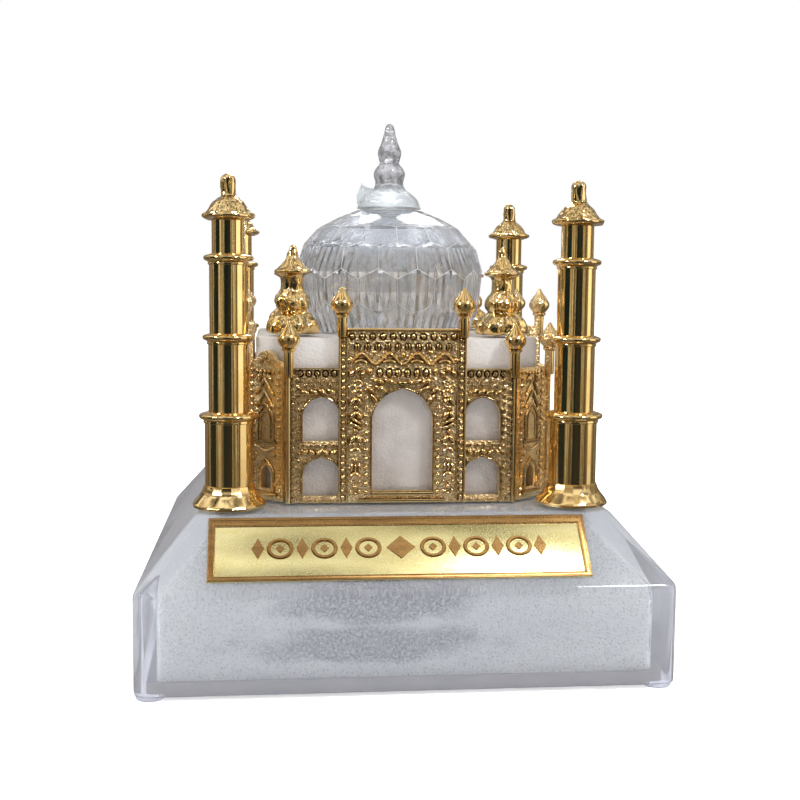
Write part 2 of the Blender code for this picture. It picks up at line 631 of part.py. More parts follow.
def build():
    """Clear the scene and make every piece."""
    for obj in list(bpy.data.objects):
        bpy.data.objects.remove(obj)
    base_shell()
    bottom_plate()
    label_plate()
    inner_block()
    facades()
    corner_panels()
    minarets()
    kiosks()
    dome()
    finial()
    light_housing()
    for name, side in (("housing_screw_front", -1), ("housing_screw_back", 1)):
        screw(name, 0, side * HOUSING_EAR_Y, PLATE_TOP + EAR_THICKNESS + 2 * GAP, PLATE_BOTTOM + SINK + GAP)
    button_cells()
    contacts()
    circuit_board()
    lamp()
    switch()
    battery_door()
    screw("door_screw", DOOR_SCREW_X, CELL_Y, PLATE_BOTTOM - GAP, DOOR_SCREW_TIP)


build()
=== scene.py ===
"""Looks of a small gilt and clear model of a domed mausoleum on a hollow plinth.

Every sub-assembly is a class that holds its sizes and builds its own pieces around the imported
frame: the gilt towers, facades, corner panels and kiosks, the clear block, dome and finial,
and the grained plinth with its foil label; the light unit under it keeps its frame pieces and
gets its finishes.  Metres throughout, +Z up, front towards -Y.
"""
from __future__ import annotations

import logging
import math
from contextlib import contextmanager
from dataclasses import dataclass, field
from enum import Enum
from typing import Callable, Iterator, Mapping, Optional, Sequence, Union

import bpy
from mathutils import Matrix, Vector

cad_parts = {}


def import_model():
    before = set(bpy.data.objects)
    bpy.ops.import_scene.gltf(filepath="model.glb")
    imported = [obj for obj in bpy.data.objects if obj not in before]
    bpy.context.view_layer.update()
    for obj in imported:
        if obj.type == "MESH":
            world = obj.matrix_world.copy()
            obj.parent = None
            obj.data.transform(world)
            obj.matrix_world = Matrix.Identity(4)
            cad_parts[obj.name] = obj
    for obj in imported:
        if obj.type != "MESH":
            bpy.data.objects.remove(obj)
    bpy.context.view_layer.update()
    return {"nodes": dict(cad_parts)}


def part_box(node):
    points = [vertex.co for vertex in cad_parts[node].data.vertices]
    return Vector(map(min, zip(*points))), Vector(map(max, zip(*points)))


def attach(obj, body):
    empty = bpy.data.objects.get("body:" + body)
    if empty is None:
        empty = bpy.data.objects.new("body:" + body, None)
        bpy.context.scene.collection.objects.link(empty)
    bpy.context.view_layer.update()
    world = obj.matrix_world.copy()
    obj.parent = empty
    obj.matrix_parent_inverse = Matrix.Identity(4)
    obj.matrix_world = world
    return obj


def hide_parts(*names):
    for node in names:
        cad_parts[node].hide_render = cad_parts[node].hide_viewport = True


LOG = logging.getLogger("souvenir")
MM = 0.001
QUARTER = math.pi / 2
BODY = "model"
GAP = 0.3 * MM  # between glued pieces
PORTAL_RISE = 6.3 * MM  # of a portal over its bays
FACADE_PLANE = 25.05 * MM  # distances of the upright planes from the middle
CORNER_PLANE = 30.6 * MM
BLOCK_CORNER_PLANE = 29.0 * MM
Obj = bpy.types.Object
Material = bpy.types.Material
Point = tuple[float, float]
Spot = tuple[float, float, float]
CORNERS = {"front_left": (-1, -1), "front_right": (1, -1), "back_right": (1, 1), "back_left": (-1, 1)}
SIDES = ("front", "right", "back", "left")


# --------------------------------------------------------------------------------------------
# Shader graphs
# --------------------------------------------------------------------------------------------
class Value:
    """A socket that can be used in arithmetic."""

    def __init__(self, graph: "Graph", socket: bpy.types.NodeSocket) -> None:
        """Wrap one output socket of a graph."""
        self.graph = graph
        self.socket = socket

    def _math(self, operation: str, first: "Scalar", second: "Scalar") -> "Value":
        """Add a Math node on two scalars."""
        return self.graph.node("ShaderNodeMath", {"operation": operation}, {0: first, 1: second})

    def __add__(self, other: "Scalar") -> "Value":
        """Sum."""
        return self._math("ADD", self, other)

    __radd__ = __add__

    def __sub__(self, other: "Scalar") -> "Value":
        """Difference."""
        return self._math("SUBTRACT", self, other)

    def __rsub__(self, other: "Scalar") -> "Value":
        """Difference from a plain number."""
        return self._math("SUBTRACT", other, self)

    def __mul__(self, other: "Scalar") -> "Value":
        """Product."""
        return self._math("MULTIPLY", self, other)

    __rmul__ = __mul__

    def __abs__(self) -> "Value":
        """Size without sign."""
        return self._math("ABSOLUTE", self, 0.0)

    def largest(self, other: "Scalar") -> "Value":
        """The larger of two scalars."""
        return self._math("MAXIMUM", self, other)


Scalar = Union[Value, float]


class Graph:
    """Builds the node tree of one material or world."""

    def __init__(self, owner: Union[Material, bpy.types.World]) -> None:
        """Empty the owner's node tree and keep it."""
        owner.use_nodes = True
        self.tree = owner.node_tree
        self.tree.nodes.clear()

    def node(self, kind: str, settings: Optional[Mapping] = None,
             inputs: Optional[Mapping] = None, output: Union[int, str] = 0) -> Value:
        """Add one node.

        Args:
            kind: The node's type name.
            settings: Properties set first; "stops" holds a ramp's (place, colour) pairs.
            inputs: Values or links of its sockets, by name or number.
            output: The socket to hand back, by name or number.

        Returns:
            The chosen output socket.
        """
        made = self.tree.nodes.new(kind)
        for key, setting in (settings or {}).items():
            if key == "stops":
                self._set_stops(made.color_ramp, setting)
            else:
                setattr(made, key, setting)
        for key, entry in (inputs or {}).items():
            socket = made.inputs[key]
            if isinstance(entry, Value):
                self.tree.links.new(entry.socket, socket)
            else:
                socket.default_value = entry
        outputs = made.outputs
        return Value(self, outputs[output]) if len(outputs) else Value(self, None)

    @staticmethod
    def _set_stops(ramp: bpy.types.ColorRamp, stops: Sequence) -> None:
        """Give a colour ramp exactly these stops."""
        while len(ramp.elements) < len(stops):
            ramp.elements.new(1.0)
        for element, (place, colour) in zip(ramp.elements, stops):
            element.position = place
            element.color = (*colour[:3], 1.0)

    def coordinates(self) -> Value:
        """Object coordinates, which are the part's own metres."""
        return self.node("ShaderNodeTexCoord", output="Object")

    def axes(self, vector: Value) -> tuple[Value, Value, Value]:
        """The three components of a vector."""
        split = self.node("ShaderNodeSeparateXYZ", inputs={0: vector})
        outputs = split.socket.node.outputs
        return tuple(Value(self, outputs[i]) for i in range(3))

    def stretched(self, vector: Value, scale: Spot) -> Value:
        """A vector multiplied axis by axis."""
        settings = {"operation": "MULTIPLY"}
        return self.node("ShaderNodeVectorMath", settings, {0: vector, 1: scale})

    def noise(self, scale: float, detail: float = 2.0, vector: Optional[Value] = None,
              roughness: float = 0.5) -> Value:
        """Fractal noise with features of 1 / scale metres."""
        place = vector or self.coordinates()
        return self.node("ShaderNodeTexNoise", inputs={
            "Vector": place, "Scale": scale, "Detail": detail, "Roughness": roughness})

    def cells(self, scale: float, vector: Optional[Value] = None) -> Value:
        """Distance to the nearest of scattered points, 1 / scale metres apart."""
        place = vector or self.coordinates()
        return self.node("ShaderNodeTexVoronoi", {"feature": "F1"}, {"Vector": place, "Scale": scale})

    def ramp(self, amount: Scalar, low: float, high: float, start: float = 0.0,
             end: float = 1.0) -> Value:
        """Map amount smoothly from low..high to start..end."""
        return self.node("ShaderNodeMapRange", {"interpolation_type": "SMOOTHSTEP"}, {
            "Value": amount, "From Min": low, "From Max": high, "To Min": start, "To Max": end})

    def blend(self, amount: Scalar, first: Union[Value, Spot], second: Union[Value, Spot]) -> Value:
        """Mix two colours."""
        entries = {0: amount}
        for slot, colour in ((6, first), (7, second)):
            entries[slot] = colour if isinstance(colour, Value) else (*colour[:3], 1.0)
        return self.node("ShaderNodeMix", {"data_type": "RGBA"}, entries, output=2)

    def stops(self, amount: Scalar, stops: Sequence[tuple[float, Spot]]) -> Value:
        """Colour a scalar by (place, colour) stops."""
        return self.node("ShaderNodeValToRGB", {"stops": stops}, {0: amount})

    def bump(self, height: Value, distance: float, strength: float = 1.0,
             under: Optional[Value] = None) -> Value:
        """A bump normal from a height of 0 to 1 times distance in metres."""
        entries = {"Strength": strength, "Distance": distance, "Height": height}
        if under is not None:
            entries["Normal"] = under
        return self.node("ShaderNodeBump", inputs=entries)

    def surface(self, **sockets: Union[Value, float, Spot]) -> None:
        """End the tree in a Principled shader; names have underscores for spaces."""
        entries = {}
        for key, entry in sockets.items():
            if isinstance(entry, tuple) and len(entry) == 3:
                entry = (*entry, 1.0)
            entries[key.replace("_", " ")] = entry
        shader = self.node("ShaderNodeBsdfPrincipled", inputs=entries)
        self.node("ShaderNodeOutputMaterial", inputs={"Surface": shader})


# --------------------------------------------------------------------------------------------
# Finishes
# --------------------------------------------------------------------------------------------
def new_graph(name: str) -> tuple[Material, Graph]:
    """A material and its empty graph."""
    made = bpy.data.materials.new(name)
    return made, Graph(made)


class Recess(Enum):
    """How far a relief stands from its ground: which distance tells ground from crest."""

    NONE = "none"
    FACADE = "facade"
    CORNER = "corner"


@dataclass(frozen=True)
class Finish:
    """A material by its name; each kind paints its own graph."""

    name: str

    def build(self) -> Material:
        """Make the material.

        Returns:
            The finished material.
        """
        made, g = new_graph(self.name)
        self.paint(g)
        return made

    def paint(self, g: Graph) -> None:
        """Fill the material's graph."""
        raise NotImplementedError


@dataclass(frozen=True)
class PlatedGold(Finish):
    """Mirror-bright plated plastic; the low ground of a relief takes its own paler, rougher tone, and painted
    shade darkens the crevices round the raised ornament.
    """

    recess: Recess = Recess.NONE
    ground: float = 0.0
    crest: float = 0.0
    bright: Spot = (0.90, 0.67, 0.32)
    deep: Spot = (0.84, 0.58, 0.24)
    # shaded and black are the colours of painted shade in the crevices.
    shaded: Spot = (0.42, 0.20, 0.06)
    black: Spot = (0.08, 0.035, 0.01)
    low_ground_tone: Spot = (1.0, 0.77, 0.44)
    shade_reach: float = 0.0
    roughness: float = 0.09
    hammer: float = 0.0
    hammer_scale: float = 900.0
    hammer_band: Point = (-1.0, 1.0)
    streak: float = 0.0
    grain: float = 0.0

    def paint(self, g: Graph) -> None:
        """Paint lacquered gold: its tone, painted shade in the recesses, dents and gloss."""
        place = g.coordinates()
        smear = g.noise(260.0, 3.0, place)
        fine = g.noise(5200.0, 2.0, place)
        tone = g.blend(g.ramp(smear, 0.35, 0.7), self.bright, self.deep)
        x, y, z = g.axes(place)
        normal = g.bump(fine, 0.000006, 0.5)
        if self.recess is not Recess.NONE:
            if self.recess is Recess.FACADE:
                depth = abs(x).largest(abs(y))
            else:
                depth = (abs(x) + abs(y)) * math.sqrt(0.5)
            # The low ground of a relief takes a paler, rougher tone.
            low = g.ramp(depth, self.ground, self.crest, 1.0, 0.0)
            tone = g.blend(low * g.ramp(smear, 0.3, 0.7, 0.95, 0.55), tone, self.low_ground_tone)
            pebbles = (g.cells(3000.0, place) + g.noise(2600.0, 2.0, place)) * low
            normal = g.bump(pebbles, self.grain, 1.0, normal)
        # Painted shade: ambient occlusion darkens the crevices round the relief, first to brown and then
        # nearly to black.
        if self.shade_reach:
            shade_occlusion = g.node("ShaderNodeAmbientOcclusion", {"samples": 6, "only_local": True},
                              {"Distance": self.shade_reach}, output="AO")
            tone = g.blend(g.ramp(shade_occlusion, 0.50, 0.86, 0.85, 0.0), tone, self.shaded)
            tone = g.blend(g.ramp(shade_occlusion, 0.18, 0.58, 0.92, 0.0), tone, self.black)
        if self.hammer:
            start, end = self.hammer_band
            band = g.ramp(z, start, start + 0.3 * MM) * g.ramp(z, end, end + 0.3 * MM, 1.0, 0.0)
            dents = g.noise(self.hammer_scale, 1.5, place) * band
            normal = g.bump(dents, self.hammer, 1.0, normal)
        if self.streak:
            drawn_out = g.noise(520.0, 2.0, g.stretched(place, (1.0, 1.0, 0.06)))
            normal = g.bump(drawn_out, self.streak, 1.0, normal)
        rough = g.ramp(smear, 0.3, 0.75, self.roughness * 0.7, self.roughness * 1.7)
        if self.recess is not Recess.NONE:
            rough = rough + low * 0.16
        g.surface(Base_Color=tone, Metallic=1.0, Normal=normal, Roughness=rough)


@dataclass(frozen=True)
class ClearPlastic(Finish):
    """Clear moulded styrene, either polished or with a grained skin."""

    colour: Spot = (0.66, 0.66, 0.71)
    cloud: Spot = (0.60, 0.60, 0.66)
    roughness: float = 0.03
    grain: float = 0.0
    grain_scale: float = 2400.0
    ripple: float = 0.000010
    ripple_scale: float = 180.0
    transmission: float = 1.0
    pale: Optional[Spot] = None
    pale_from: float = 0.0
    pale_to: float = 1.0
    index: float = 1.5

    def paint(self, g: Graph) -> None:
        """Paint the clear body with its ripple and grain."""
        place = g.coordinates()
        flow = g.noise(self.ripple_scale, 2.0, place)
        normal = g.bump(flow, self.ripple, 0.6)
        if self.grain:
            speck = g.cells(self.grain_scale, place) + g.noise(self.grain_scale * 0.7, 2.0, place)
            normal = g.bump(speck, self.grain, 1.0, normal)
        tone = g.blend(g.ramp(flow, 0.3, 0.7), self.colour, self.cloud)
        if self.pale is not None:
            height = g.axes(place)[2]
            tone = g.blend(g.ramp(height, self.pale_from, self.pale_to), tone, self.pale)
        g.surface(Base_Color=tone,
                  Roughness=g.ramp(flow, 0.3, 0.7, self.roughness, self.roughness * 1.4),
                  IOR=self.index, Transmission_Weight=self.transmission, Normal=normal)


@dataclass(frozen=True)
class FlutedPlastic(Finish):
    """Finely drawn inner skin of the dome with upright flutes; its coloured streaks are partly light bent by
    the flutes and partly painted refraction in the base colour.
    """

    roughness: float = 0.12
    streak: float = 0.00014
    transmission: float = 0.85
    painted_waist_refraction: Spot = (0.42, 0.36, 0.28)
    haze: Spot = (0.80, 0.84, 0.90)
    smooth_from: float = 65.6 * MM
    smooth_to: float = 67.4 * MM

    def paint(self, g: Graph) -> None:
        """Paint upright coloured streaks of painted refraction that fade towards the top."""
        place = g.coordinates()
        z = g.axes(place)[2]
        fine = g.noise(1500.0, 2.0, g.stretched(place, (1.0, 1.0, 0.10)))
        broad = g.noise(420.0, 2.0, g.stretched(place, (1.0, 1.0, 0.30)))
        # Painted refraction: fine streaks from black to white and broad coloured tints stand in for light
        # bent by the flutes; the brownish band at the waist is painted refraction too.
        lines = g.stops(fine, ((0.36, (0.10, 0.11, 0.11)), (0.44, (0.52, 0.50, 0.46)),
                               (0.50, (0.86, 0.87, 0.88)), (0.58, (1.0, 1.0, 1.0)),
                               (0.66, (0.62, 0.64, 0.66))))
        painted_streak_tints = g.stops(broad, ((0.36, (0.42, 0.50, 0.52)), (0.44, (0.86, 0.88, 0.90)),
                                (0.52, (0.92, 0.84, 0.70)), (0.58, (0.66, 0.52, 0.36)),
                                (0.66, (0.90, 0.88, 0.95))))
        upper = g.ramp(z, self.smooth_from, self.smooth_to)
        waist = g.ramp(z, 55.5 * MM, 58.0 * MM) * (1.0 - upper) * 0.45
        tone = g.blend(0.5, lines, painted_streak_tints)
        tone = g.blend(waist, tone, self.painted_waist_refraction)
        tone = g.blend(upper, tone, self.haze)
        g.surface(Base_Color=tone, IOR=1.5, Transmission_Weight=self.transmission,
                  Roughness=g.ramp(broad, 0.3, 0.7, self.roughness * 0.7, self.roughness * 1.4),
                  Normal=g.bump(fine, self.streak, 1.0))


@dataclass(frozen=True)
class GrainedPlastic(Finish):
    """Etched skin of the plinth's hollow: pale, with pebbles that show more in two patches of painted shade,
    standing in for the dark things seen through the wall.
    """

    pale: Spot = (0.70, 0.73, 0.64)
    # dark is the colour of the painted shade patches.
    dark: Spot = (0.01, 0.01, 0.01)
    pebbled: Spot = (0.50, 0.52, 0.52)
    upper_shade_patch: tuple[float, ...] = (-6.0, 13.4, 13.0, 2.9)
    lower_shade_patch: tuple[float, ...] = (-6.0, 7.4, 19.0, 2.6)
    roughness: float = 0.30
    grain: float = 0.00022
    transmission: float = 0.35

    def paint(self, g: Graph) -> None:
        """Paint the pebbled skin and its two patches of painted shade."""
        place = g.coordinates()
        x, y, z = g.axes(place)
        facing = g.ramp(abs(y) - abs(x), -MM, MM)
        along = y + (x - y) * facing
        drift = g.noise(150.0, 2.0, g.stretched(place, (1.0, 1.0, 2.0))) - 0.5
        # Painted shade: two soft ovals on every upright face stand in for the dark things seen through the
        # wall.
        upper = self.shade_patch(g, along, z, self.upper_shade_patch, drift)
        lower = self.shade_patch(g, along, z, self.lower_shade_patch, drift) * 0.85
        shade = upper.largest(lower)
        pebble = g.ramp(g.noise(2300.0, 2.0, place), 0.40, 0.60)
        speck = g.ramp(g.cells(2300.0, place), 0.1, 0.6)
        tone = g.blend(shade * (pebble * 0.6 + 0.4), self.pale, self.dark)
        tone = g.blend(pebble * 0.10, tone, self.pebbled)
        g.surface(Base_Color=tone, IOR=1.45, Transmission_Weight=self.transmission,
                  Roughness=g.ramp(speck, 0.0, 1.0, self.roughness * 0.8, self.roughness * 1.3),
                  Normal=g.bump((speck + pebble) * (shade * 0.75 + 0.25), self.grain, 1.0))

    @staticmethod
    def shade_patch(g: Graph, along: Value, z: Value, shape: tuple[float, ...], drift: Value) -> Value:
        """A soft oval of painted shade on each upright face.

        Args:
            g: The graph that it is drawn in.
            along: Distance along the face.
            z: Height.
            shape: Its middle along the face, its height, half width and half height, in millimetres.
            drift: Noise about zero that frays its edge.

        Returns:
            One in the middle, falling to zero.
        """
        middle, level, wide, tall = shape
        across = (along - middle * MM) * (1 / (wide * MM))
        up = (z - level * MM) * (1 / (tall * MM))
        return g.ramp(across * across + up * up + drift * 2.2, 0.3, 1.6, 1.0, 0.0)


@dataclass(frozen=True)
class Foil(Finish):
    """Embossed metal foil."""

    colour: Spot
    dull: Spot
    roughness: float = 0.22

    def paint(self, g: Graph) -> None:
        """Paint brushed, slightly creased foil."""
        place = g.coordinates()
        brushed = g.noise(900.0, 3.0, g.stretched(place, (0.25, 1.0, 1.0)))
        crease = g.noise(140.0, 2.0, place)
        speck = g.noise(6000.0, 1.0, place)
        normal = g.bump(crease, 0.00010, 0.5, g.bump(speck, 0.000006, 0.5))
        g.surface(Base_Color=g.blend(g.ramp(brushed, 0.35, 0.7), self.colour, self.dull), Metallic=1.0,
                  Roughness=g.ramp(speck, 0.3, 0.7, self.roughness * 0.8, self.roughness * 1.3),
                  Normal=normal)


@dataclass(frozen=True)
class Moulded(Finish):
    """Plain moulded plastic, board lacquer or plated steel: one colour with a fine skin; on the plinth's
    rebate the colour is painted shade.
    """

    colour: Spot
    wear_and_shade: Spot
    roughness: float = 0.45
    metallic: float = 0.0
    skin: float = 0.000012
    scale: float = 1800.0

    def paint(self, g: Graph) -> None:
        """Paint one colour with faint wear and a fine skin; on the plinth's rebate both colours are painted
        shade.
        """
        place = g.coordinates()
        cloud = g.noise(150.0, 3.0, place)
        speck = g.noise(self.scale, 2.0, place)
        g.surface(Base_Color=g.blend(g.ramp(cloud, 0.3, 0.75), self.colour, self.wear_and_shade),
                  Metallic=self.metallic, Normal=g.bump(speck, self.skin, 0.7),
                  Roughness=g.ramp(speck, 0.25, 0.75, self.roughness * 0.85, self.roughness * 1.15))


@dataclass(frozen=True)
class Lamp(Finish):
    """Clear epoxy lens with a faint milky body."""

    def paint(self, g: Graph) -> None:
        """Paint the milky lens."""
        milk = g.ramp(g.noise(700.0, 2.0), 0.3, 0.7)
        g.surface(Base_Color=g.blend(milk, (0.93, 0.93, 0.95), (0.85, 0.87, 0.90)), IOR=1.5,
                  Transmission_Weight=0.8, Roughness=milk * 0.1 + 0.05)


# --------------------------------------------------------------------------------------------
# Modelling by hand
# --------------------------------------------------------------------------------------------
def deselect_all() -> None:
    """Leave edit mode and deselect every object."""
    if bpy.context.object is not None and bpy.context.object.mode != "OBJECT":
        bpy.ops.object.mode_set(mode="OBJECT")
    bpy.ops.object.select_all(action="DESELECT")


def pick(*objects: Obj) -> None:
    """Select only these objects, the first one active."""
    deselect_all()
    for obj in objects:
        obj.select_set(True)
    bpy.context.view_layer.objects.active = objects[0]


@contextmanager
def editing(obj: Obj) -> Iterator[None]:
    """Edit mode on one object, with everything selected at the start."""
    pick(obj)
    bpy.ops.object.mode_set(mode="EDIT")
    bpy.ops.mesh.select_mode(type="VERT")
    bpy.ops.mesh.select_all(action="SELECT")
    yield
    bpy.ops.object.mode_set(mode="OBJECT")


def settle(obj: Obj) -> Obj:
    """Put an object's place, turn and scale into its mesh."""
    pick(obj)
    bpy.ops.object.transform_apply(location=True, rotation=True, scale=True)
    return obj


def named(obj: Obj, name: str) -> Obj:
    """Name an object and its mesh."""
    obj.name = name
    obj.data.name = name
    return obj


def outward(obj: Obj) -> Obj:
    """Merge doubles and turn every face outwards."""
    with editing(obj):
        bpy.ops.mesh.remove_doubles(threshold=1e-7)
        bpy.ops.mesh.normals_make_consistent(inside=False)
    return obj


def smoothed(obj: Obj, angle: float = 35.0) -> Obj:
    """Shade smooth, keeping edges sharper than the angle."""
    pick(obj)
    bpy.ops.object.shade_smooth_by_angle(angle=math.radians(angle))
    return obj


def modified(obj: Obj, kind: str, **settings: object) -> Obj:
    """Add one modifier and apply it."""
    pick(obj)
    modifier = obj.modifiers.new(kind.title(), kind)
    for key, setting in settings.items():
        setattr(modifier, key, setting)
    bpy.ops.object.modifier_apply(modifier=modifier.name)
    return obj


def crumpled(obj: Obj, size: float, depth: float) -> Obj:
    """Press soft dents of a given size and depth into a piece, along its normals."""
    clouds = bpy.data.textures.new("dents", "CLOUDS")
    clouds.noise_scale = size
    clouds.noise_depth = 1
    return modified(obj, "DISPLACE", texture=clouds, texture_coords="LOCAL", direction="NORMAL",
                    mid_level=0.5, strength=depth)


def fluted(obj: Obj, factor: Callable[[float, float], float]) -> Obj:
    """Scale every vertex about Z by a factor of its angle and height."""
    for vertex in obj.data.vertices:
        scale = factor(math.atan2(vertex.co.y, vertex.co.x), vertex.co.z)
        vertex.co.x *= scale
        vertex.co.y *= scale
    return obj


def rounded(obj: Obj, width: float, segments: int = 2, angle: float = 40.0) -> Obj:
    """Round the sharp edges of a piece."""
    return modified(obj, "BEVEL", width=width, segments=segments, limit_method="ANGLE",
                    angle_limit=math.radians(angle), use_clamp_overlap=True)


def carved(obj: Obj, operation: str, tools: Sequence[Obj]) -> Obj:
    """Cut tools from a piece, or join them to it, and clear the tools away."""
    for tool in tools:
        modified(obj, "BOOLEAN", operation=operation, object=tool, solver="EXACT")
    pick(*tools)
    bpy.ops.object.delete()
    return obj


def joined(pieces: Sequence[Obj], name: str) -> Obj:
    """Join several meshes into one object."""
    pick(*pieces)
    if len(pieces) > 1:
        bpy.ops.object.join()
    return named(bpy.context.view_layer.objects.active, name)


def copied(obj: Obj, name: str, matrix: Matrix) -> Obj:
    """A copy with its own mesh, moved by a matrix that goes into the mesh."""
    pick(obj)
    bpy.ops.object.duplicate(linked=False)
    made = named(bpy.context.view_layer.objects.active, name)
    made.matrix_world = matrix
    return settle(made)


def resize(scale: Spot, centre: Spot = (0.0, 0.0, 0.0)) -> None:
    """Scale what is selected about a point."""
    bpy.ops.transform.resize(value=scale, center_override=centre)


def mm(points: Sequence[Point], up: float = 0.0, out: float = 0.0) -> list[Point]:
    """Points given in millimetres, in metres, moved up and out."""
    return [(out + a * MM, up + b * MM) for a, b in points]


def turned(name: str, profile: Sequence[Point], sides: int, turn: float = 0.0) -> Obj:
    """A round or many-sided solid raised from a disc, ring by ring.

    Args:
        name: The piece's name.
        profile: (radius, height) points from the foot to the top.
        sides: How many sides it has.
        turn: How far the first corner is turned about Z.

    Returns:
        The closed solid about the Z axis.
    """
    radius, height = profile[0]
    deselect_all()
    bpy.ops.mesh.primitive_circle_add(vertices=sides, radius=radius, fill_type="NGON",
                                      location=(0, 0, height), rotation=(0, 0, turn))
    obj = settle(named(bpy.context.active_object, name))
    with editing(obj):
        for next_radius, next_height in profile[1:]:
            step = {"value": (0, 0, next_height - height)}
            bpy.ops.mesh.extrude_region_move(TRANSFORM_OT_translate=step)
            grow = max(next_radius, 1e-5) / radius
            resize((grow, grow, 1.0), (0, 0, next_height))
            radius, height = max(next_radius, 1e-5), next_height
        if radius <= 1e-5:
            bpy.ops.mesh.merge(type="CENTER")
    return outward(obj)


def drawn(name: str, outline: Sequence[Spot], depth: Spot) -> Obj:
    """A flat outline drawn point by point, filled and extruded.

    Args:
        name: The piece's name.
        outline: The corners, in order.
        depth: The extrusion.

    Returns:
        The closed solid.
    """
    deselect_all()
    bpy.ops.mesh.primitive_plane_add(size=MM, location=outline[0])
    obj = settle(named(bpy.context.active_object, name))
    with editing(obj):
        bpy.ops.mesh.merge(type="CENTER")
        here = Vector(outline[0])
        for corner in outline[1:]:
            step = Vector(corner) - here
            bpy.ops.mesh.extrude_region_move(TRANSFORM_OT_translate={"value": step})
            here = Vector(corner)
        bpy.ops.mesh.select_all(action="SELECT")
        bpy.ops.mesh.edge_face_add()
        bpy.ops.mesh.extrude_region_move(TRANSFORM_OT_translate={"value": depth})
        bpy.ops.mesh.select_all(action="SELECT")
        bpy.ops.mesh.normals_make_consistent(inside=False)
    return obj


def block(name: str, low: Spot, high: Spot) -> Obj:
    """A rectangular solid between two corners, as a start for a piece or a cutter."""
    centre = [(a + b) / 2 for a, b in zip(low, high)]
    size = [b - a for a, b in zip(low, high)]
    deselect_all()
    bpy.ops.mesh.primitive_cube_add(size=1.0, location=centre, scale=size)
    return settle(named(bpy.context.active_object, name))


def strand(name: str, path: Sequence[Spot], radius: float, closed: bool = False,
           sides: int = 1) -> Obj:
    """A round bar along a path, made from a bevelled curve."""
    curve = bpy.data.curves.new(name, "CURVE")
    curve.dimensions = "3D"
    curve.bevel_depth = radius
    curve.bevel_resolution = sides
    curve.use_fill_caps = not closed
    line = curve.splines.new("POLY")
    line.points.add(len(path) - 1)
    for point, place in zip(line.points, path):
        point.co = (*place, 1.0)
    line.use_cyclic_u = closed
    obj = bpy.data.objects.new(name, curve)
    bpy.context.collection.objects.link(obj)
    pick(obj)
    bpy.ops.object.convert(target="MESH")
    return outward(bpy.context.view_layer.objects.active)


def bead(place: Spot, radius: float, scale: Spot = (1.0, 1.0, 1.0), lean: float = 0.0) -> Obj:
    """A small rounded bead; lean turns it in the facade's plane."""
    deselect_all()
    bpy.ops.mesh.primitive_uv_sphere_add(segments=8, ring_count=5, radius=radius, scale=scale,
                                         location=place, rotation=(0, lean, 0))
    obj = settle(bpy.context.active_object)
    pick(obj)
    bpy.ops.object.shade_smooth()
    return obj


def repeated(obj: Obj, count: int, step: Spot) -> Obj:
    """Repeat a piece along a line as separate bodies of one mesh."""
    return modified(obj, "ARRAY", count=count, use_relative_offset=False,
                    use_constant_offset=True, constant_offset_displace=step)


def pointed_arch(half: float, bottom: float, spring: float, apex: float, haunch: float,
                 centre: float = 0.0, steps: int = 10, grow: float = 0.0) -> list[Point]:
    """Outline of an arch: upright sides, round haunches and straight lines to the apex.

    Args:
        half: Half its width.
        bottom: Height of its foot.
        spring: Height where the haunches start.
        apex: Height of its point.
        haunch: Angle that each haunch sweeps, in degrees.
        centre: Where its middle is.
        steps: Straight steps in each haunch.
        grow: How far the outline is pushed outwards.

    Returns:
        (across, height) points, anticlockwise from the left foot.
    """
    phi = math.radians(haunch)
    cot = 1 / math.tan(phi)
    wide, rise = half + grow, apex - spring + grow / math.sin(phi)
    radius = (rise - wide * cot) / (math.sin(phi) + (math.cos(phi) - 1) * cot)
    right = []
    for step in range(steps + 1):
        angle = phi * step / steps
        right.append((wide - radius + radius * math.cos(angle), spring + radius * math.sin(angle)))
    left = [(-x, z) for x, z in reversed(right)]
    points = [(-wide, bottom), (wide, bottom)] + right + [(0.0, spring + rise)] + left
    return [(centre + x, z) for x, z in points]


def dress(obj: Obj, finish: Material, slot: str, *nodes: str,
          body: str = BODY) -> None:
    """Finish a piece: give it its material unless it has its own, attach it to its body and hide its CAD
    nodes.
    """
    if not obj.data.materials:
        obj.data.materials.append(finish)
    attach(obj, body)
    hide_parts(*nodes)
    LOG.info("%s: %d faces", obj.name, len(obj.data.polygons))


def coated(obj: Obj, finishes: Sequence[Material], index: int) -> Obj:
    """Give a piece a row of materials and put one of them on all its faces."""
    for finish in finishes:
        obj.data.materials.append(finish)
    for face in obj.data.polygons:
        face.material_index = index
    return obj


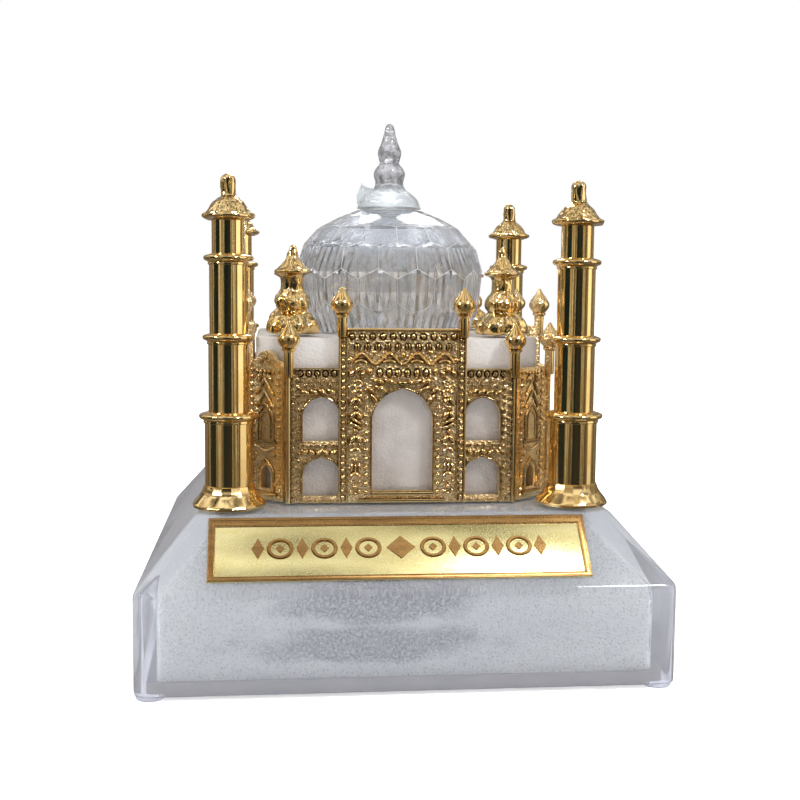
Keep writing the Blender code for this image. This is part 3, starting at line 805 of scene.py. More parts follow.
# --------------------------------------------------------------------------------------------
# Gilt pieces
# --------------------------------------------------------------------------------------------
@dataclass
class Minaret:
    """A many-sided tower: faceted foot, three balcony rings, brimmed cap and round-ended pin."""

    foot: float
    offset: float
    finish: Material
    sides: int = 18
    shaft: tuple[float, ...] = (3.75 * MM, 3.15 * MM, 2.95 * MM, 2.55 * MM)
    rings: tuple[float, ...] = (40.6 * MM, 52.7 * MM, 64.8 * MM)
    brim: float = 71.1 * MM
    tip: float = 77.5 * MM
    pin: float = 1.17 * MM
    shaft_wave: float = 0.004
    dent_size: float = 0.9 * MM
    dent_depth: float = 0.32 * MM
    corner_turn: float = 0.37

    def flare(self) -> Obj:
        """The many-sided foot, with a soft lip where it stands on the deck."""
        profile = mm([(5.2, 0.0), (5.62, 0.2), (5.72, 0.55), (5.5, 0.95), (4.8, 1.8), (4.2, 2.7),
                      (3.92, 3.5), (3.3, 3.8)], self.foot)
        foot = turned("flare", profile, self.sides, math.pi / self.sides)
        return smoothed(foot, 16.0)

    def stem(self) -> Obj:
        """The shaft, which steps in above each ring, very slightly flattened all round."""
        points = [(self.shaft[0], self.foot + 2.6 * MM)]
        levels = list(self.rings) + [self.brim - 0.5 * MM]
        for radius, level in zip(self.shaft, levels):
            points.append((radius, points[-1][1] + 0.1 * MM))
            points.append((radius, level))
        stem = turned("stem", points, self.sides * 4, math.pi / self.sides)
        fluted(stem, lambda angle, _: 1 + self.shaft_wave * math.cos(self.sides * angle))
        return smoothed(stem, 45.0)

    def ring(self, level: float, inner: float) -> Obj:
        """One balcony ring: a thin fillet under a rounded, slightly dished flange."""
        profile = mm([(-0.5, -1.15), (0.16, -1.1), (0.22, -0.92), (0.14, -0.72), (0.35, -0.55),
                      (0.73, -0.38), (0.85, -0.18), (0.88, 0.02), (0.79, 0.22), (0.55, 0.36),
                      (-0.3, 0.62), (-0.8, 0.72)], level, inner)
        return smoothed(turned("ring", profile, 48), 60.0)

    def cap(self) -> Obj:
        """Brim, low crumpled dome and pin."""
        profile = mm([(2.3, -0.75), (2.75, -0.7), (3.6, -0.5), (4.0, -0.35), (4.12, -0.1), (4.1, 0.15),
                      (3.9, 0.32), (3.45, 0.42), (3.2, 0.9), (2.75, 1.6), (2.1, 2.3), (1.5, 2.75),
                      (1.25, 2.95)], self.brim)
        round_start = self.tip - MM
        profile += [(self.pin, self.brim + 3.2 * MM), (self.pin, round_start - MM)]
        for step in range(6):
            angle = step * QUARTER / 5
            profile.append((self.pin * math.cos(angle), round_start + MM * math.sin(angle)))
        cap = modified(turned("cap", profile, 30), "SUBSURF", levels=1, render_levels=1)
        return smoothed(crumpled(cap, self.dent_size, self.dent_depth), 60.0)

    def build(self) -> None:
        """Make one tower and set a copy on each corner of the deck."""
        rings = [self.ring(level, radius) for level, radius in zip(self.rings, self.shaft)]
        model = joined([self.flare(), self.stem(), *rings, self.cap()], "minaret_model")
        for corner, (x, y) in CORNERS.items():
            matrix = Matrix.Translation((x * self.offset, y * self.offset, 0))
            turn = Matrix.Rotation(self.corner_turn * (x + 2 * y), 4, "Z")
            tower = copied(model, f"tower_{corner}", matrix @ turn)
            dress(tower, self.finish, "plated_gold", f"minaret_{corner}")
        bpy.data.objects.remove(model)


@dataclass
class Kiosk:
    """Small roof kiosk: lobed bell, bulb, shaft, brim and pointed hat."""

    foot: float
    top: float
    offset: float
    finish: Material
    bell_top: float = 3.7 * MM
    bulb_top: float = 6.6 * MM
    hat_foot: float = 10.5 * MM
    bell_lobe: float = 0.17
    bulb_lobe: float = 0.15
    hat_ridge: float = 0.02
    corner_turn: float = 0.6
    first_turn: float = 0.2
    dent_size: float = 0.8 * MM
    dent_depth: float = 0.30 * MM

    def build(self) -> None:
        """Make one kiosk and set a copy on each corner of the roof."""
        low = self.foot
        profile = mm([(4.1, 0.0), (4.4, 0.3), (4.5, 1.1), (4.3, 2.0), (3.6, 2.9), (2.7, 3.5), (2.3, 3.8),
                      (2.6, 4.1), (2.95, 4.6), (3.05, 5.2), (2.8, 6.0), (2.1, 6.7), (1.72, 7.0),
                      (1.7, 9.2), (2.0, 9.6), (2.85, 9.85), (3.05, 10.05), (3.0, 10.3), (2.4, 10.7),
                      (1.65, 11.5), (1.1, 12.3), (0.8, 12.8), (0.72, 13.3), (0.66, 13.8)], low)
        rise = self.top - low - 14 * MM
        profile += [(0.45 * MM, low + 13.9 * MM + rise * 0.7), (0.0, self.top)]
        model = turned("kiosk_model", profile, 36)
        modified(model, "SUBSURF", levels=1, render_levels=1)
        fluted(model, self.lobe)
        crumpled(model, self.dent_size, self.dent_depth)
        smoothed(model, 70.0)
        for corner, (x, y) in CORNERS.items():
            turn = Matrix.Rotation(self.corner_turn * (x - y) + self.first_turn, 4, "Z")
            matrix = Matrix.Translation((x * self.offset, y * self.offset, 0)) @ turn
            dress(copied(model, f"chattri_{corner}", matrix), self.finish, "plated_gold",
                  f"kiosk_{corner}")
        bpy.data.objects.remove(model)

    def lobe(self, angle: float, z: float) -> float:
        """Factor that presses lobes into the bell and the bulb, and shallow ridges into the hat."""
        height = z - self.foot
        if height < self.bell_top:
            return 1 - self.bell_lobe * (1 - abs(math.sin(3 * angle)))
        if height < self.bulb_top:
            return 1 - self.bulb_lobe * (1 - abs(math.sin(3 * angle + 0.8)))
        if height > self.hat_foot:
            return 1 - self.hat_ridge * (1 - math.cos(7 * angle + 300 * height))
        return 1.0


@dataclass
class Relief:
    """Draws raised ornament on an upright plane that faces -Y."""

    plane: float
    parts: list[Obj] = field(default_factory=list)
    pits: list[Obj] = field(default_factory=list)

    def at(self, u: float, z: float, proud: float = 0.0) -> Spot:
        """A point on the plane, in metres from millimetres."""
        return (u * MM, -self.plane - proud * MM, z * MM)

    def beads(self, u: float, z: float, count: int = 1, step: Point = (0.0, 0.0), radius: float = 0.35,
              scale: Point = (1.0, 1.0), lean: float = 0.0) -> None:
        """A row of beads from one point, a step apart, all in millimetres."""
        start = bead(self.at(u, z, 0.05), radius * MM, (scale[0], 1.0, scale[1]), lean)
        if count > 1:
            repeated(start, count, (step[0] * MM, 0.0, step[1] * MM))
        self.parts.append(start)

    def pit(self, u: float, z: float, count: int, pitch: float, wide: float, tall: float) -> None:
        """A row of shallow oval hollows to press into the ground."""
        deselect_all()
        bpy.ops.mesh.primitive_uv_sphere_add(segments=12, ring_count=6, radius=MM, location=self.at(u, z),
                                             scale=(wide, 0.42, tall))
        hollow = settle(bpy.context.active_object)
        if count > 1:
            repeated(hollow, count, (pitch * MM, 0.0, 0.0))
        self.pits.append(hollow)

    def cups(self, u: float, z: float, count: int, pitch: float, tall: float = 1.0) -> None:
        """A row of beads, each in its own round hollow."""
        self.beads(u, z, count, (pitch, 0.0), 0.37, (1.0, tall))
        self.pit(u, z - 0.06, count, pitch, min(0.62, abs(pitch) * 0.46), 0.64 * tall)

    def bar(self, path: Sequence[Point], radius: float, proud: float = 0.0) -> None:
        """A raised round bar along a path, in millimetres."""
        piece = strand("bar", [self.at(u, z, proud) for u, z in path], radius * MM)
        self.parts.append(smoothed(piece, 60.0))

    def mirrored_bar(self, path: Sequence[Point], radius: float, proud: float = 0.0) -> None:
        """The same bar on both sides of the middle."""
        self.bar(path, radius, proud)
        self.bar([(-u, z) for u, z in path], radius, proud)

    def leaf(self, u: float, z: float, length: float, width: float, lean: float) -> None:
        """A long drop, leaning from upright by lean degrees."""
        angle = math.radians(lean)
        self.beads(u, z, 1, (0, 0), 0.68, (width * 1.1, length), angle)

    def both_leaves(self, u: float, z: float, length: float, width: float, lean: float) -> None:
        """A leaf and its mirror image about the middle."""
        self.leaf(u, z, length, width, lean)
        self.leaf(-u, z, length, width, -lean)


@dataclass
class Facade:
    """One side of the building: two bays and a raised portal, carved all over."""

    foot: float
    plane: float
    bay_top: float
    portal_top: float
    finish: Material
    half: float = 18.2
    portal_half: float = 10.15
    thickness: float = 1.3
    window_offset: float = 12.9
    bead_post: float = 9.45
    portal_post: float = 9.7
    corner_post: float = 18.0
    portal_bud: float = 60.6
    corner_bud: float = 55.1
    post_overlap: float = 1.4
    bud_height: float = 4.3
    bud_rib: float = 0.025
    arch_rim: float = 0.14
    arch: tuple[float, ...] = (4.8, 28.2, 39.4, 44.6, 70)
    upper: tuple[float, ...] = (2.85, 36.2, 40.2, 43.2, 75)
    lower: tuple[float, ...] = (2.85, 27.4, 30.9, 33.6, 72)

    def openings(self) -> list[tuple[float, tuple[float, ...]]]:
        """The centre and shape of every opening, in millimetres."""
        found = [(0.0, self.arch)]
        for side in (-1, 1):
            found += [(side * self.window_offset, shape) for shape in (self.upper, self.lower)]
        return found

    def panel(self, pits: Sequence[Obj]) -> Obj:
        """The flat ground with its openings and pits and a slightly proud portal."""
        h, p = self.half * MM, self.portal_half * MM
        front, back = -self.plane, -self.plane + self.thickness * MM
        low, bay, top = self.foot, self.bay_top, self.portal_top
        outline = [(-h, low), (h, low), (h, bay), (p, bay), (p, top), (-p, top), (-p, bay), (-h, bay)]
        ground = drawn("ground", [(x, front, z) for x, z in outline], (0, back - front, 0))
        portal = block("portal", (-p, front - 0.18 * MM, low), (p, back - 0.2 * MM, top))
        carved(ground, "UNION", [portal])
        cutters = []
        for centre, shape in self.openings():
            outline = mm(pointed_arch(*shape, centre=centre))
            cutters.append(drawn("opening", [(x, front - MM, z) for x, z in outline], (0, 4 * MM, 0)))
        carved(ground, "DIFFERENCE", cutters)
        rounded(ground, 0.1 * MM, 2, 50.0)
        carved(ground, "DIFFERENCE", [joined(pits, "pits")])
        return smoothed(ground, 40.0)

    def post(self, u: float, low: float, top: float) -> Obj:
        """Slim post with a collar and a ribbed, pointed bud."""
        r, bud = 0.8, top - self.bud_height
        profile = [(r * 0.9, low), (r, low + 0.3), (r, bud - 0.5), (r * 1.12, bud - 0.4),
                   (r * 1.4, bud - 0.2), (r * 1.42, bud), (r * 1.25, bud + 0.15),
                   (1.3, bud + 0.45), (1.62, bud + 0.85), (1.8, bud + 1.35), (1.78, bud + 1.75),
                   (1.55, bud + 2.2), (1.2, bud + 2.7), (0.82, bud + 3.2), (0.5, bud + 3.65),
                   (0.28, bud + 4.05), (0.14, bud + 4.25), (0.0, bud + 4.3)]
        piece = turned("post", mm(profile), 24)
        ribs_from = (bud + 0.3) * MM
        fluted(piece, lambda angle, z: 1 - self.bud_rib * (1 - math.cos(8 * angle)) if z > ribs_from else 1.0)
        pick(piece)
        piece.location = (u * MM, -self.plane - 0.25 * MM, 0)
        return smoothed(settle(piece), 38.0)

    def trim(self, relief: Relief) -> None:
        """Raised rims round the openings, edge strips and the sills."""
        for centre, shape in self.openings():
            edge = pointed_arch(*shape, centre=centre, grow=self.arch_rim)
            relief.bar(edge[1:] + edge[:1], 0.13, 0.05)
        low, bay, top = (z / MM for z in (self.foot, self.bay_top, self.portal_top))
        edge, inner, side = self.portal_half - 0.12, self.bead_post - 0.62, self.half - 0.1
        relief.mirrored_bar([(edge, low), (edge, top - 0.2)], 0.16, 0.1)
        relief.mirrored_bar([(inner, low + 0.6), (inner, top - 0.5)], 0.12, 0.1)
        relief.bar([(-self.portal_half, top - 0.17), (self.portal_half, top - 0.17)], 0.2, 0.1)
        relief.mirrored_bar([(self.portal_half, bay - 0.13), (self.half, bay - 0.13)], 0.16)
        relief.mirrored_bar([(side, low), (side, bay)], 0.36)
        relief.bar([(-4.9, 27.75), (4.9, 27.75)], 0.27, 0.2)
        relief.bar([(-7.0, 26.65), (7.0, 26.65)], 0.24, 0.25)

    def portal_ornament(self, relief: Relief) -> None:
        """Bead rows, short bars and scrolls over the arch, and leaf bands beside it."""
        relief.cups(-8.1, 52.85, 11, 1.62)
        relief.pit(-7.29, 51.05, 10, 1.62, 0.6, 0.92)
        for u in (-0.2, 0.2):
            relief.beads(-7.29 + u, 51.15, 10, (1.62, 0.0), 0.28, (0.45, 1.9))
        wave = [(u, 49.35 - 0.85 * math.cos(u * math.tau / 4.4)) for u in self.span(0.0, 8.3, 26)]
        relief.bar([(-u, z) for u, z in reversed(wave)] + wave[1:], 0.29, 0.12)
        for u in (2.2, 6.7):
            arc = [(u + d, 48.75 + 0.35 * math.cos(d * 1.6)) for d in self.span(-0.95, 0.95, 7)]
            relief.mirrored_bar(arc, 0.3, 0.08)
        relief.beads(0.0, 49.9, 1, (0, 0), 0.42, (0.8, 1.3))
        relief.beads(-8.5, 49.1, 2, (17.0, 0.0), 0.42)
        relief.beads(-4.45, 50.35, 2, (8.9, 0.0), 0.32)
        for u in (0.74, 2.2, 3.66):
            relief.cups(-u, 47.1, 1, 1.46, 1.35)
            relief.cups(u, 47.1, 1, 1.46, 1.35)
        for u, z in ((5.2, 47.3), (6.4, 46.9), (7.3, 47.6), (8.2, 47.0)):
            relief.both_leaves(u, z, 1.0, 0.55, 30 - 8 * u)
        for u, z, length, lean in ((0.0, 45.5, 1.2, 90), (2.0, 45.75, 1.7, 75), (3.4, 44.55, 1.7, 62),
                                   (4.55, 43.0, 1.6, 35), (3.8, 45.8, 1.5, 75), (5.1, 44.4, 1.3, 55)):
            relief.both_leaves(u, z, length, 0.5, lean)
        for u, z in ((7.1, 45.4), (8.0, 44.6), (7.0, 43.9)):
            ring = [(u + 0.55 * math.cos(a), z + 0.55 * math.sin(a)) for a in self.span(0.4, 5.2, 10)]
            relief.mirrored_bar(ring, 0.2, 0.05)
        for u in (-5.75, 5.75):
            relief.beads(u, 28.0, 13, (0.0, 1.36), 0.37)
        self.leaf_band(relief)

    @staticmethod
    def span(start: float, end: float, count: int) -> list[float]:
        """Evenly spaced numbers from start to end."""
        return [start + (end - start) * i / (count - 1) for i in range(count)]

    def leaf_band(self, relief: Relief) -> None:
        """Chevrons, crescents, buds and short bars up the sides of the arch."""
        u = 7.45
        for z in (42.6, 40.4, 36.6):
            relief.both_leaves(u - 0.5, z, 1.2, 0.5, 38)
            relief.both_leaves(u + 0.5, z, 1.2, 0.5, -38)
        for z in (41.6, 37.9, 33.2, 28.9):
            relief.beads(-u, z, 2, (2 * u, 0.0), 0.42)
        for z in (39.5, 38.7):
            relief.both_leaves(u, z, 1.7, 0.42, 60)
        for z in (34.6, 30.6):
            arc = [(u + 0.75 * math.cos(a), z - 0.2 + 0.75 * math.sin(a)) for a in self.span(0.3, 2.84, 8)]
            relief.mirrored_bar(arc, 0.26, 0.05)
        for shift in (-0.6, 0.0, 0.6):
            relief.beads(-u + shift, 32.0, 2, (2 * (u - shift), 0.0), 0.32, (0.65, 2.2))
            relief.beads(-u + shift, 27.8 + abs(shift) * 0.6, 2, (2 * (u - shift), 0.0), 0.3)
        for z in (35.7, 29.8):
            relief.beads(-u - 0.75, z, 2, (2 * u + 1.5, 0.0), 0.27)
            relief.beads(-u + 0.75, z, 2, (2 * u - 1.5, 0.0), 0.27)

    def bay_ornament(self, relief: Relief) -> None:
        """Double bead columns, bead rows and small leaf scrolls on both bays."""
        for side in (-1, 1):
            inner, outer = side * 10.9, side * 17.35
            relief.beads(outer, 26.9, 18, (0.0, 1.155), 0.38)
            relief.beads(outer - side * 0.92, 27.2, 18, (0.0, 1.155), 0.36)
            relief.cups(inner, 46.95, 5, side * 1.32)
            relief.beads(inner, 45.75, 5, (side * 1.24, 0.0), 0.3)
            relief.beads(inner + side * 0.62, 45.1, 4, (side * 1.24, 0.0), 0.34)
            for k in range(4):
                relief.leaf(inner + side * (0.4 + 1.35 * k), 44.1 - 0.05 * k, 1.25, 0.45, side * 62)
            relief.beads(inner, 35.55, 5, (side * 1.2, 0.0), 0.34, (1.45, 0.9))
            for k in range(5):
                relief.leaf(inner + side * (0.1 + 1.1 * k), 34.45, 0.95, 0.45, side * (50 if k % 2 else -50))
            relief.beads(inner - side * 0.3, 32.9, 2, (side * 4.9, 0.0), 0.32)
            relief.beads(inner - side * 0.3, 42.6, 2, (side * 4.9, 0.0), 0.32)
            relief.beads(side * 7.9, 26.65, 9, (side * 1.15, 0.0), 0.36)

    def post_beads(self, proud: Relief) -> None:
        """Beads that run up the portal's posts."""
        for side in (-1, 1):
            proud.beads(side * self.bead_post, 27.2, 25, (0.0, 1.09), 0.35)

    def build(self) -> None:
        """Make one facade and set a copy on each side."""
        relief = Relief(self.plane + 0.02 * MM)
        raised = Relief(self.plane + 0.2 * MM)
        self.trim(raised)
        self.portal_ornament(raised)
        self.bay_ornament(relief)
        self.post_beads(raised)
        pieces = [self.panel(relief.pits + raised.pits)] + relief.parts + raised.parts
        for side in (-1, 1):
            for u, wall, bud in ((self.portal_post, self.portal_top, self.portal_bud),
                                 (self.corner_post, self.bay_top, self.corner_bud)):
                pieces.append(self.post(side * u, wall / MM - self.post_overlap, bud))
        model = joined(pieces, "facade_model")
        for i, side in enumerate(SIDES):
            matrix = Matrix.Rotation(i * QUARTER, 4, "Z")
            dress(copied(model, f"screen_{side}", matrix), self.finish, "plated_gold", f"facade_{side}")
        bpy.data.objects.remove(model)


@dataclass
class CornerPanel:
    """Narrow panel across a cut corner: chevrons, a closed niche, a cornice and a small arch."""

    foot: float
    plane: float
    top: float
    crest_top: float
    finish: Material
    half: float = 3.6
    thickness: float = 1.2
    niche: tuple[float, ...] = (1.1, 28.2, 30.4, 32.0, 45)

    def ground(self, crested: bool) -> Obj:
        """The flat panel with its opening and, on two corners, a cusped crest."""
        h, low, top = self.half * MM, self.foot, self.top
        rise = self.crest_top - top
        outline = [(-h, low), (h, low), (h, top)]
        if crested:
            right = [(h * 0.9, top + rise * 0.35), (h * 0.55, top + rise * 0.45),
                     (h * 0.4, top + rise * 0.8)]
            outline += right + [(0.0, top + rise)] + [(-x, z) for x, z in reversed(right)]
        outline.append((-h, top))
        front = -self.plane
        panel = drawn("corner", [(x, front, z) for x, z in outline], (0, self.thickness * MM, 0))
        niche = mm(pointed_arch(*self.niche))
        hole = drawn("hole", [(x, front - MM, z) for x, z in niche], (0, 4 * MM, 0))
        carved(panel, "DIFFERENCE", [hole])
        return smoothed(rounded(panel, 0.09 * MM, 2, 50.0), 40.0)

    def ornament(self, relief: Relief) -> None:
        """Everything that stands proud of the panel."""
        for u in (-3.0, 3.0):
            relief.beads(u, 27.0, 19, (0.0, 1.12), 0.36)
        for peak in (45.9, 43.9):
            relief.bar([(-1.9, peak - 2.6), (0.0, peak), (1.9, peak - 2.6)], 0.27, 0.08)
        relief.beads(-1.8, 46.95, 5, (0.9, 0.0), 0.32)
        for arch, width in (((1.75, 36.0, 39.4, 41.9, 48), 0.24), ((1.15, 36.4, 39.1, 40.8, 48), 0.14),
                            ((1.75, 27.9, 30.6, 33.0, 48), 0.24)):
            edge = pointed_arch(*arch, steps=6)
            relief.bar(edge[1:] + edge[:1], width, 0.05)
        relief.bar([(-2.4, 35.7), (2.4, 35.7)], 0.26, 0.1)
        wave = [(-2.3 + 0.46 * k, 34.6 + 0.3 * math.cos(k * 0.63)) for k in range(11)]
        relief.bar(wave, 0.2, 0.05)
        relief.beads(-2.0, 33.6, 2, (4.0, 0.0), 0.28)
        relief.bar([(-2.6, 27.3), (2.6, 27.3)], 0.3, 0.15)
        for lean, u in ((-35, -1.2), (35, 1.2)):
            relief.leaf(u, 46.0, 1.2, 0.45, -lean)

    def build(self) -> None:
        """Make both kinds of panel and set them across the four corners."""
        for i, corner in enumerate(("front_right", "back_right", "back_left", "front_left")):
            relief = Relief(self.plane + 0.02 * MM)
            self.ornament(relief)
            crested = i % 2 == 1
            if crested:
                relief.beads(-0.9, 48.6, 2, (1.8, 0.0), 0.3)
                relief.beads(0.0, 49.2, 1, (0, 0), 0.3)
            model = joined([self.ground(crested)] + relief.parts, "corner_model")
            matrix = Matrix.Rotation((i + 0.5) * QUARTER, 4, "Z")
            dress(copied(model, f"corner_screen_{corner}", matrix), self.finish, "plated_gold",
                  f"corner_panel_{corner}")
            bpy.data.objects.remove(model)


# --------------------------------------------------------------------------------------------
# Clear pieces
# --------------------------------------------------------------------------------------------
@dataclass
class Dome:
    """Clear onion dome: planed hexagon facets outside, fine upright flutes inside."""

    foot: float
    top: float
    coats: Sequence[Material]
    facets: int = 16
    flutes: int = 60
    flute_depth: float = 0.13 * MM
    facet_edge: float = 0.035 * MM
    wall: float = 1.6 * MM
    rows: tuple = (((12.0, 71.1), (15.1, 67.75), 0.5), ((15.1, 67.75), (16.55, 62.9), 0.0),
                   ((16.55, 62.9), (15.95, 56.9), 0.5), ((15.95, 56.9), (14.2, 52.8), 0.0))

    def blank(self) -> Obj:
        """The turned blank that the facets are planed from."""
        side = mm([(17.7, 60.0), (17.4, 65.5), (14.9, 69.2), (11.75, 71.2), (8.8, 72.75), (7.0, 73.45)])
        return turned("dome_blank", [(17.0 * MM, self.foot), *side, (5.9 * MM, self.top)], 96)

    def plane_facets(self, blank: Obj) -> None:
        """Plane the rows of facets off the blank."""
        for (r_high, z_high), (r_low, z_low), shift in self.rows:
            slope = Vector((z_high - z_low, 0, r_low - r_high)).normalized()
            for k in range(self.facets):
                turn = Matrix.Rotation((k + shift) * math.tau / self.facets, 4, "Z")
                normal = turn @ slope
                spot = turn @ Vector((r_low * MM, 0, z_low * MM))
                with editing(blank):
                    bpy.ops.mesh.bisect(plane_co=spot, plane_no=normal, use_fill=True,
                                        clear_outer=True)

    def room(self) -> Obj:
        """The fluted hollow, as a cutter."""
        w = self.wall / MM
        outer = [(13.9, self.foot / MM - 1), (15.6, 56.6), (16.15, 59.8), (16.35, 62.9), (15.6, 65.7),
                 (14.2, 68.2), (11.3, 70.7), (8.4, 72.1), (4.6, 73.2)]
        profile = [((r - w) * MM, (z - (0 if z < 64 else w * 0.8)) * MM) for r, z in outer]
        room = turned("dome_room", profile, self.flutes * 4)
        for vertex in room.data.vertices:
            radius = math.hypot(vertex.co.x, vertex.co.y)
            fade = min(1.0, max(0.0, (67.2 * MM - vertex.co.z) / (2.0 * MM)))
            wave = math.cos(self.flutes * math.atan2(vertex.co.y, vertex.co.x))
            if radius > 1e-6:
                shift = 1 + fade * self.flute_depth * wave / radius
                vertex.co.x *= shift
                vertex.co.y *= shift
        return room

    def build(self) -> None:
        """Plane, hollow and dress the dome."""
        dome = self.blank()
        self.plane_facets(dome)
        coated(dome, self.coats, 0)
        modified(dome, "BEVEL", width=self.facet_edge, segments=1, limit_method="ANGLE",
                 angle_limit=math.radians(6.0), material=2)
        carved(dome, "DIFFERENCE", [coated(self.room(), self.coats, 1)])
        smoothed(named(dome, "faceted_dome"), 4.5)
        dress(dome, self.coats[0], "clear_dome", "dome")


@dataclass
class Finial:
    """Clear lotus cap, two bulbs and a spike, with the stub of its moulding gate."""

    foot: float
    top: float
    finish: Material
    stub_thickness: float = 0.6 * MM
    petals: Point = (74.9 * MM, 77.2 * MM)
    petal_depth: float = 0.03

    def petal(self, angle: float, z: float) -> float:
        """Factor that presses eight shallow petals into the lotus."""
        low, high = self.petals
        return 1 - self.petal_depth * (1 - math.cos(8 * angle)) if low < z < high else 1.0

    def build(self) -> None:
        """Make and dress the finial."""
        z = self.foot / MM
        profile = [(5.75, z), (5.8, z + 0.25), (5.55, z + 0.4), (5.5, 75.0), (5.35, 75.6), (4.9, 76.3),
                   (4.1, 76.9), (3.1, 77.5), (2.55, 78.2), (2.45, 78.8), (2.6, 79.5), (2.86, 80.3),
                   (2.75, 80.9), (2.3, 81.6), (1.75, 82.1), (1.7, 82.4), (1.95, 83.2), (2.14, 84.0),
                   (2.02, 84.7), (1.65, 85.4), (1.5, 85.8), (1.25, 86.5), (1.02, 87.4), (0.86, 88.2),
                   (0.74, 88.7), (0.45, self.top / MM - 0.1), (0.0, self.top / MM)]
        spire = turned("finial_spire", mm(profile), 24)
        modified(spire, "SUBSURF", levels=1, render_levels=1)
        fluted(spire, self.petal)
        smoothed(spire, 50.0)
        outline = [(-5.6, 74.8), (-4.9, 75.4), (-3.4, 76.9), (-2.5, 77.6), (-3.1, 78.0), (-4.3, 78.2),
                   (-4.85, 78.8), (-5.2, 77.9), (-5.75, 76.6)]
        half = self.stub_thickness / 2
        stub = drawn("gate_stub", [(x, -half, z) for x, z in mm(outline)], (0, 2 * half, 0))
        pieces = [spire, smoothed(rounded(stub, 0.12 * MM, 2), 60.0)]
        dress(joined(pieces, "lotus_finial"), self.finish, "clear_dome", "finial")


@dataclass
class Block:
    """Clear hollow block behind the screens, grained on its skin and open below."""

    low: Vector
    high: Vector
    half: float
    plane: float
    finish: Material
    wall: float = 1.8 * MM
    roof_hole: float = 12.0 * MM
    edge: float = 0.35 * MM

    def octagon(self, half: float, plane: float, height: float) -> list[Spot]:
        """Corners of the plan at one height."""
        short = plane * math.sqrt(2) - half
        points = []
        for i in range(4):
            turn = Matrix.Rotation(i * QUARTER, 4, "Z")
            points += [tuple(turn @ Vector((half, s * short, height))) for s in (-1, 1)]
        return points

    def build(self) -> None:
        """Make and dress the block."""
        tall = self.high.z - self.low.z
        body = drawn("building_block", self.octagon(self.half, self.plane, self.low.z), (0, 0, tall))
        rounded(body, self.edge, 3, 30.0)
        inner = self.half - self.wall
        room = drawn("room", self.octagon(inner, self.plane - self.wall, self.low.z - MM),
                     (0, 0, tall + MM - self.wall))
        hole = turned("hole", [(self.roof_hole, self.high.z - 4 * MM),
                               (self.roof_hole, self.high.z + MM)], 48)
        carved(body, "DIFFERENCE", [room, hole])
        smoothed(body, 35.0)
        dress(body, self.finish, "frosted_block", "inner_block")


@dataclass
class Plinth:
    """Hollow clear plinth: soft-edged outside, grained hollow inside, four moulded feet."""

    high: Vector
    coats: Sequence[Material]
    wall_top: float = 15.8 * MM
    deck_half: float = 32.2 * MM
    foot_height: float = 0.6 * MM
    foot_place: float = 38.4 * MM
    wall: float = 3.4 * MM
    deck_thickness: float = 3.1 * MM
    well: float = 17.5 * MM
    rebate_half: float = 38.9 * MM
    rebate_top: float = 2.5 * MM
    corner: float = 1.8 * MM
    edge: float = 0.55 * MM
    room_corner: float = 1.2 * MM
    room_edge: float = 0.5 * MM

    def frustum(self, name: str, levels: Sequence[tuple[float, float]], corner: float) -> Obj:
        """A square solid raised level by level, with its upright edges rounded.

        Args:
            name: The piece's name.
            levels: (half side, height) from the foot to the top.
            corner: Radius of the upright edges.

        Returns:
            The closed solid.
        """
        half, height = levels[0]
        deselect_all()
        bpy.ops.mesh.primitive_plane_add(size=2 * half, location=(0, 0, height))
        obj = settle(named(bpy.context.active_object, name))
        with editing(obj):
            bpy.ops.mesh.bevel(offset=corner, segments=6, affect="VERTICES")
            for next_half, next_height in levels[1:]:
                step = {"value": (0, 0, next_height - height)}
                bpy.ops.mesh.select_mode(type="FACE")
                bpy.ops.mesh.extrude_region_move(TRANSFORM_OT_translate=step)
                grow = next_half / half
                resize((grow, grow, 1.0), (0, 0, next_height))
                half, height = next_half, next_height
        return outward(obj)

    def build(self) -> None:
        """Make, hollow and dress the plinth."""
        half, top = self.high.x, self.high.z
        body = self.frustum("plinth", [(half, self.foot_height), (half, self.wall_top),
                                       (self.deck_half, top)], self.corner)
        rounded(body, self.edge, 4, 30.0)
        under = top - self.deck_thickness
        inner = half - self.wall
        room = self.frustum("room", [(inner, -MM), (inner, self.wall_top - 1.6 * MM),
                                     (self.deck_half - self.wall + 0.3 * MM, under)], self.room_corner)
        rounded(room, self.room_edge, 3, 30.0)
        rebate = self.frustum("rebate", [(self.rebate_half, -MM), (self.rebate_half, self.rebate_top)],
                              self.room_corner)
        well = self.frustum("well", [(self.well, under - MM), (self.well, top + MM)], 1.0 * MM)
        coated(body, self.coats, 0)
        # The rebate's faces take the third coat, which is painted shade.
        for cutter, index in ((room, 1), (rebate, 2), (well, 0)):
            coated(cutter, self.coats, index)
        carved(body, "DIFFERENCE", [room, rebate, well])
        feet = []
        for x, y in CORNERS.values():
            foot = turned("foot", [(2.0 * MM, 0.0), (2.2 * MM, 0.2 * MM), (2.2 * MM, 0.9 * MM)], 24)
            foot.location = (x * self.foot_place, y * self.foot_place, 0)
            feet.append(coated(settle(foot), self.coats, 0))
        carved(body, "UNION", feet)
        smoothed(body, 28.0)
        dress(body, self.coats[0], "clear_plinth", "base_shell")


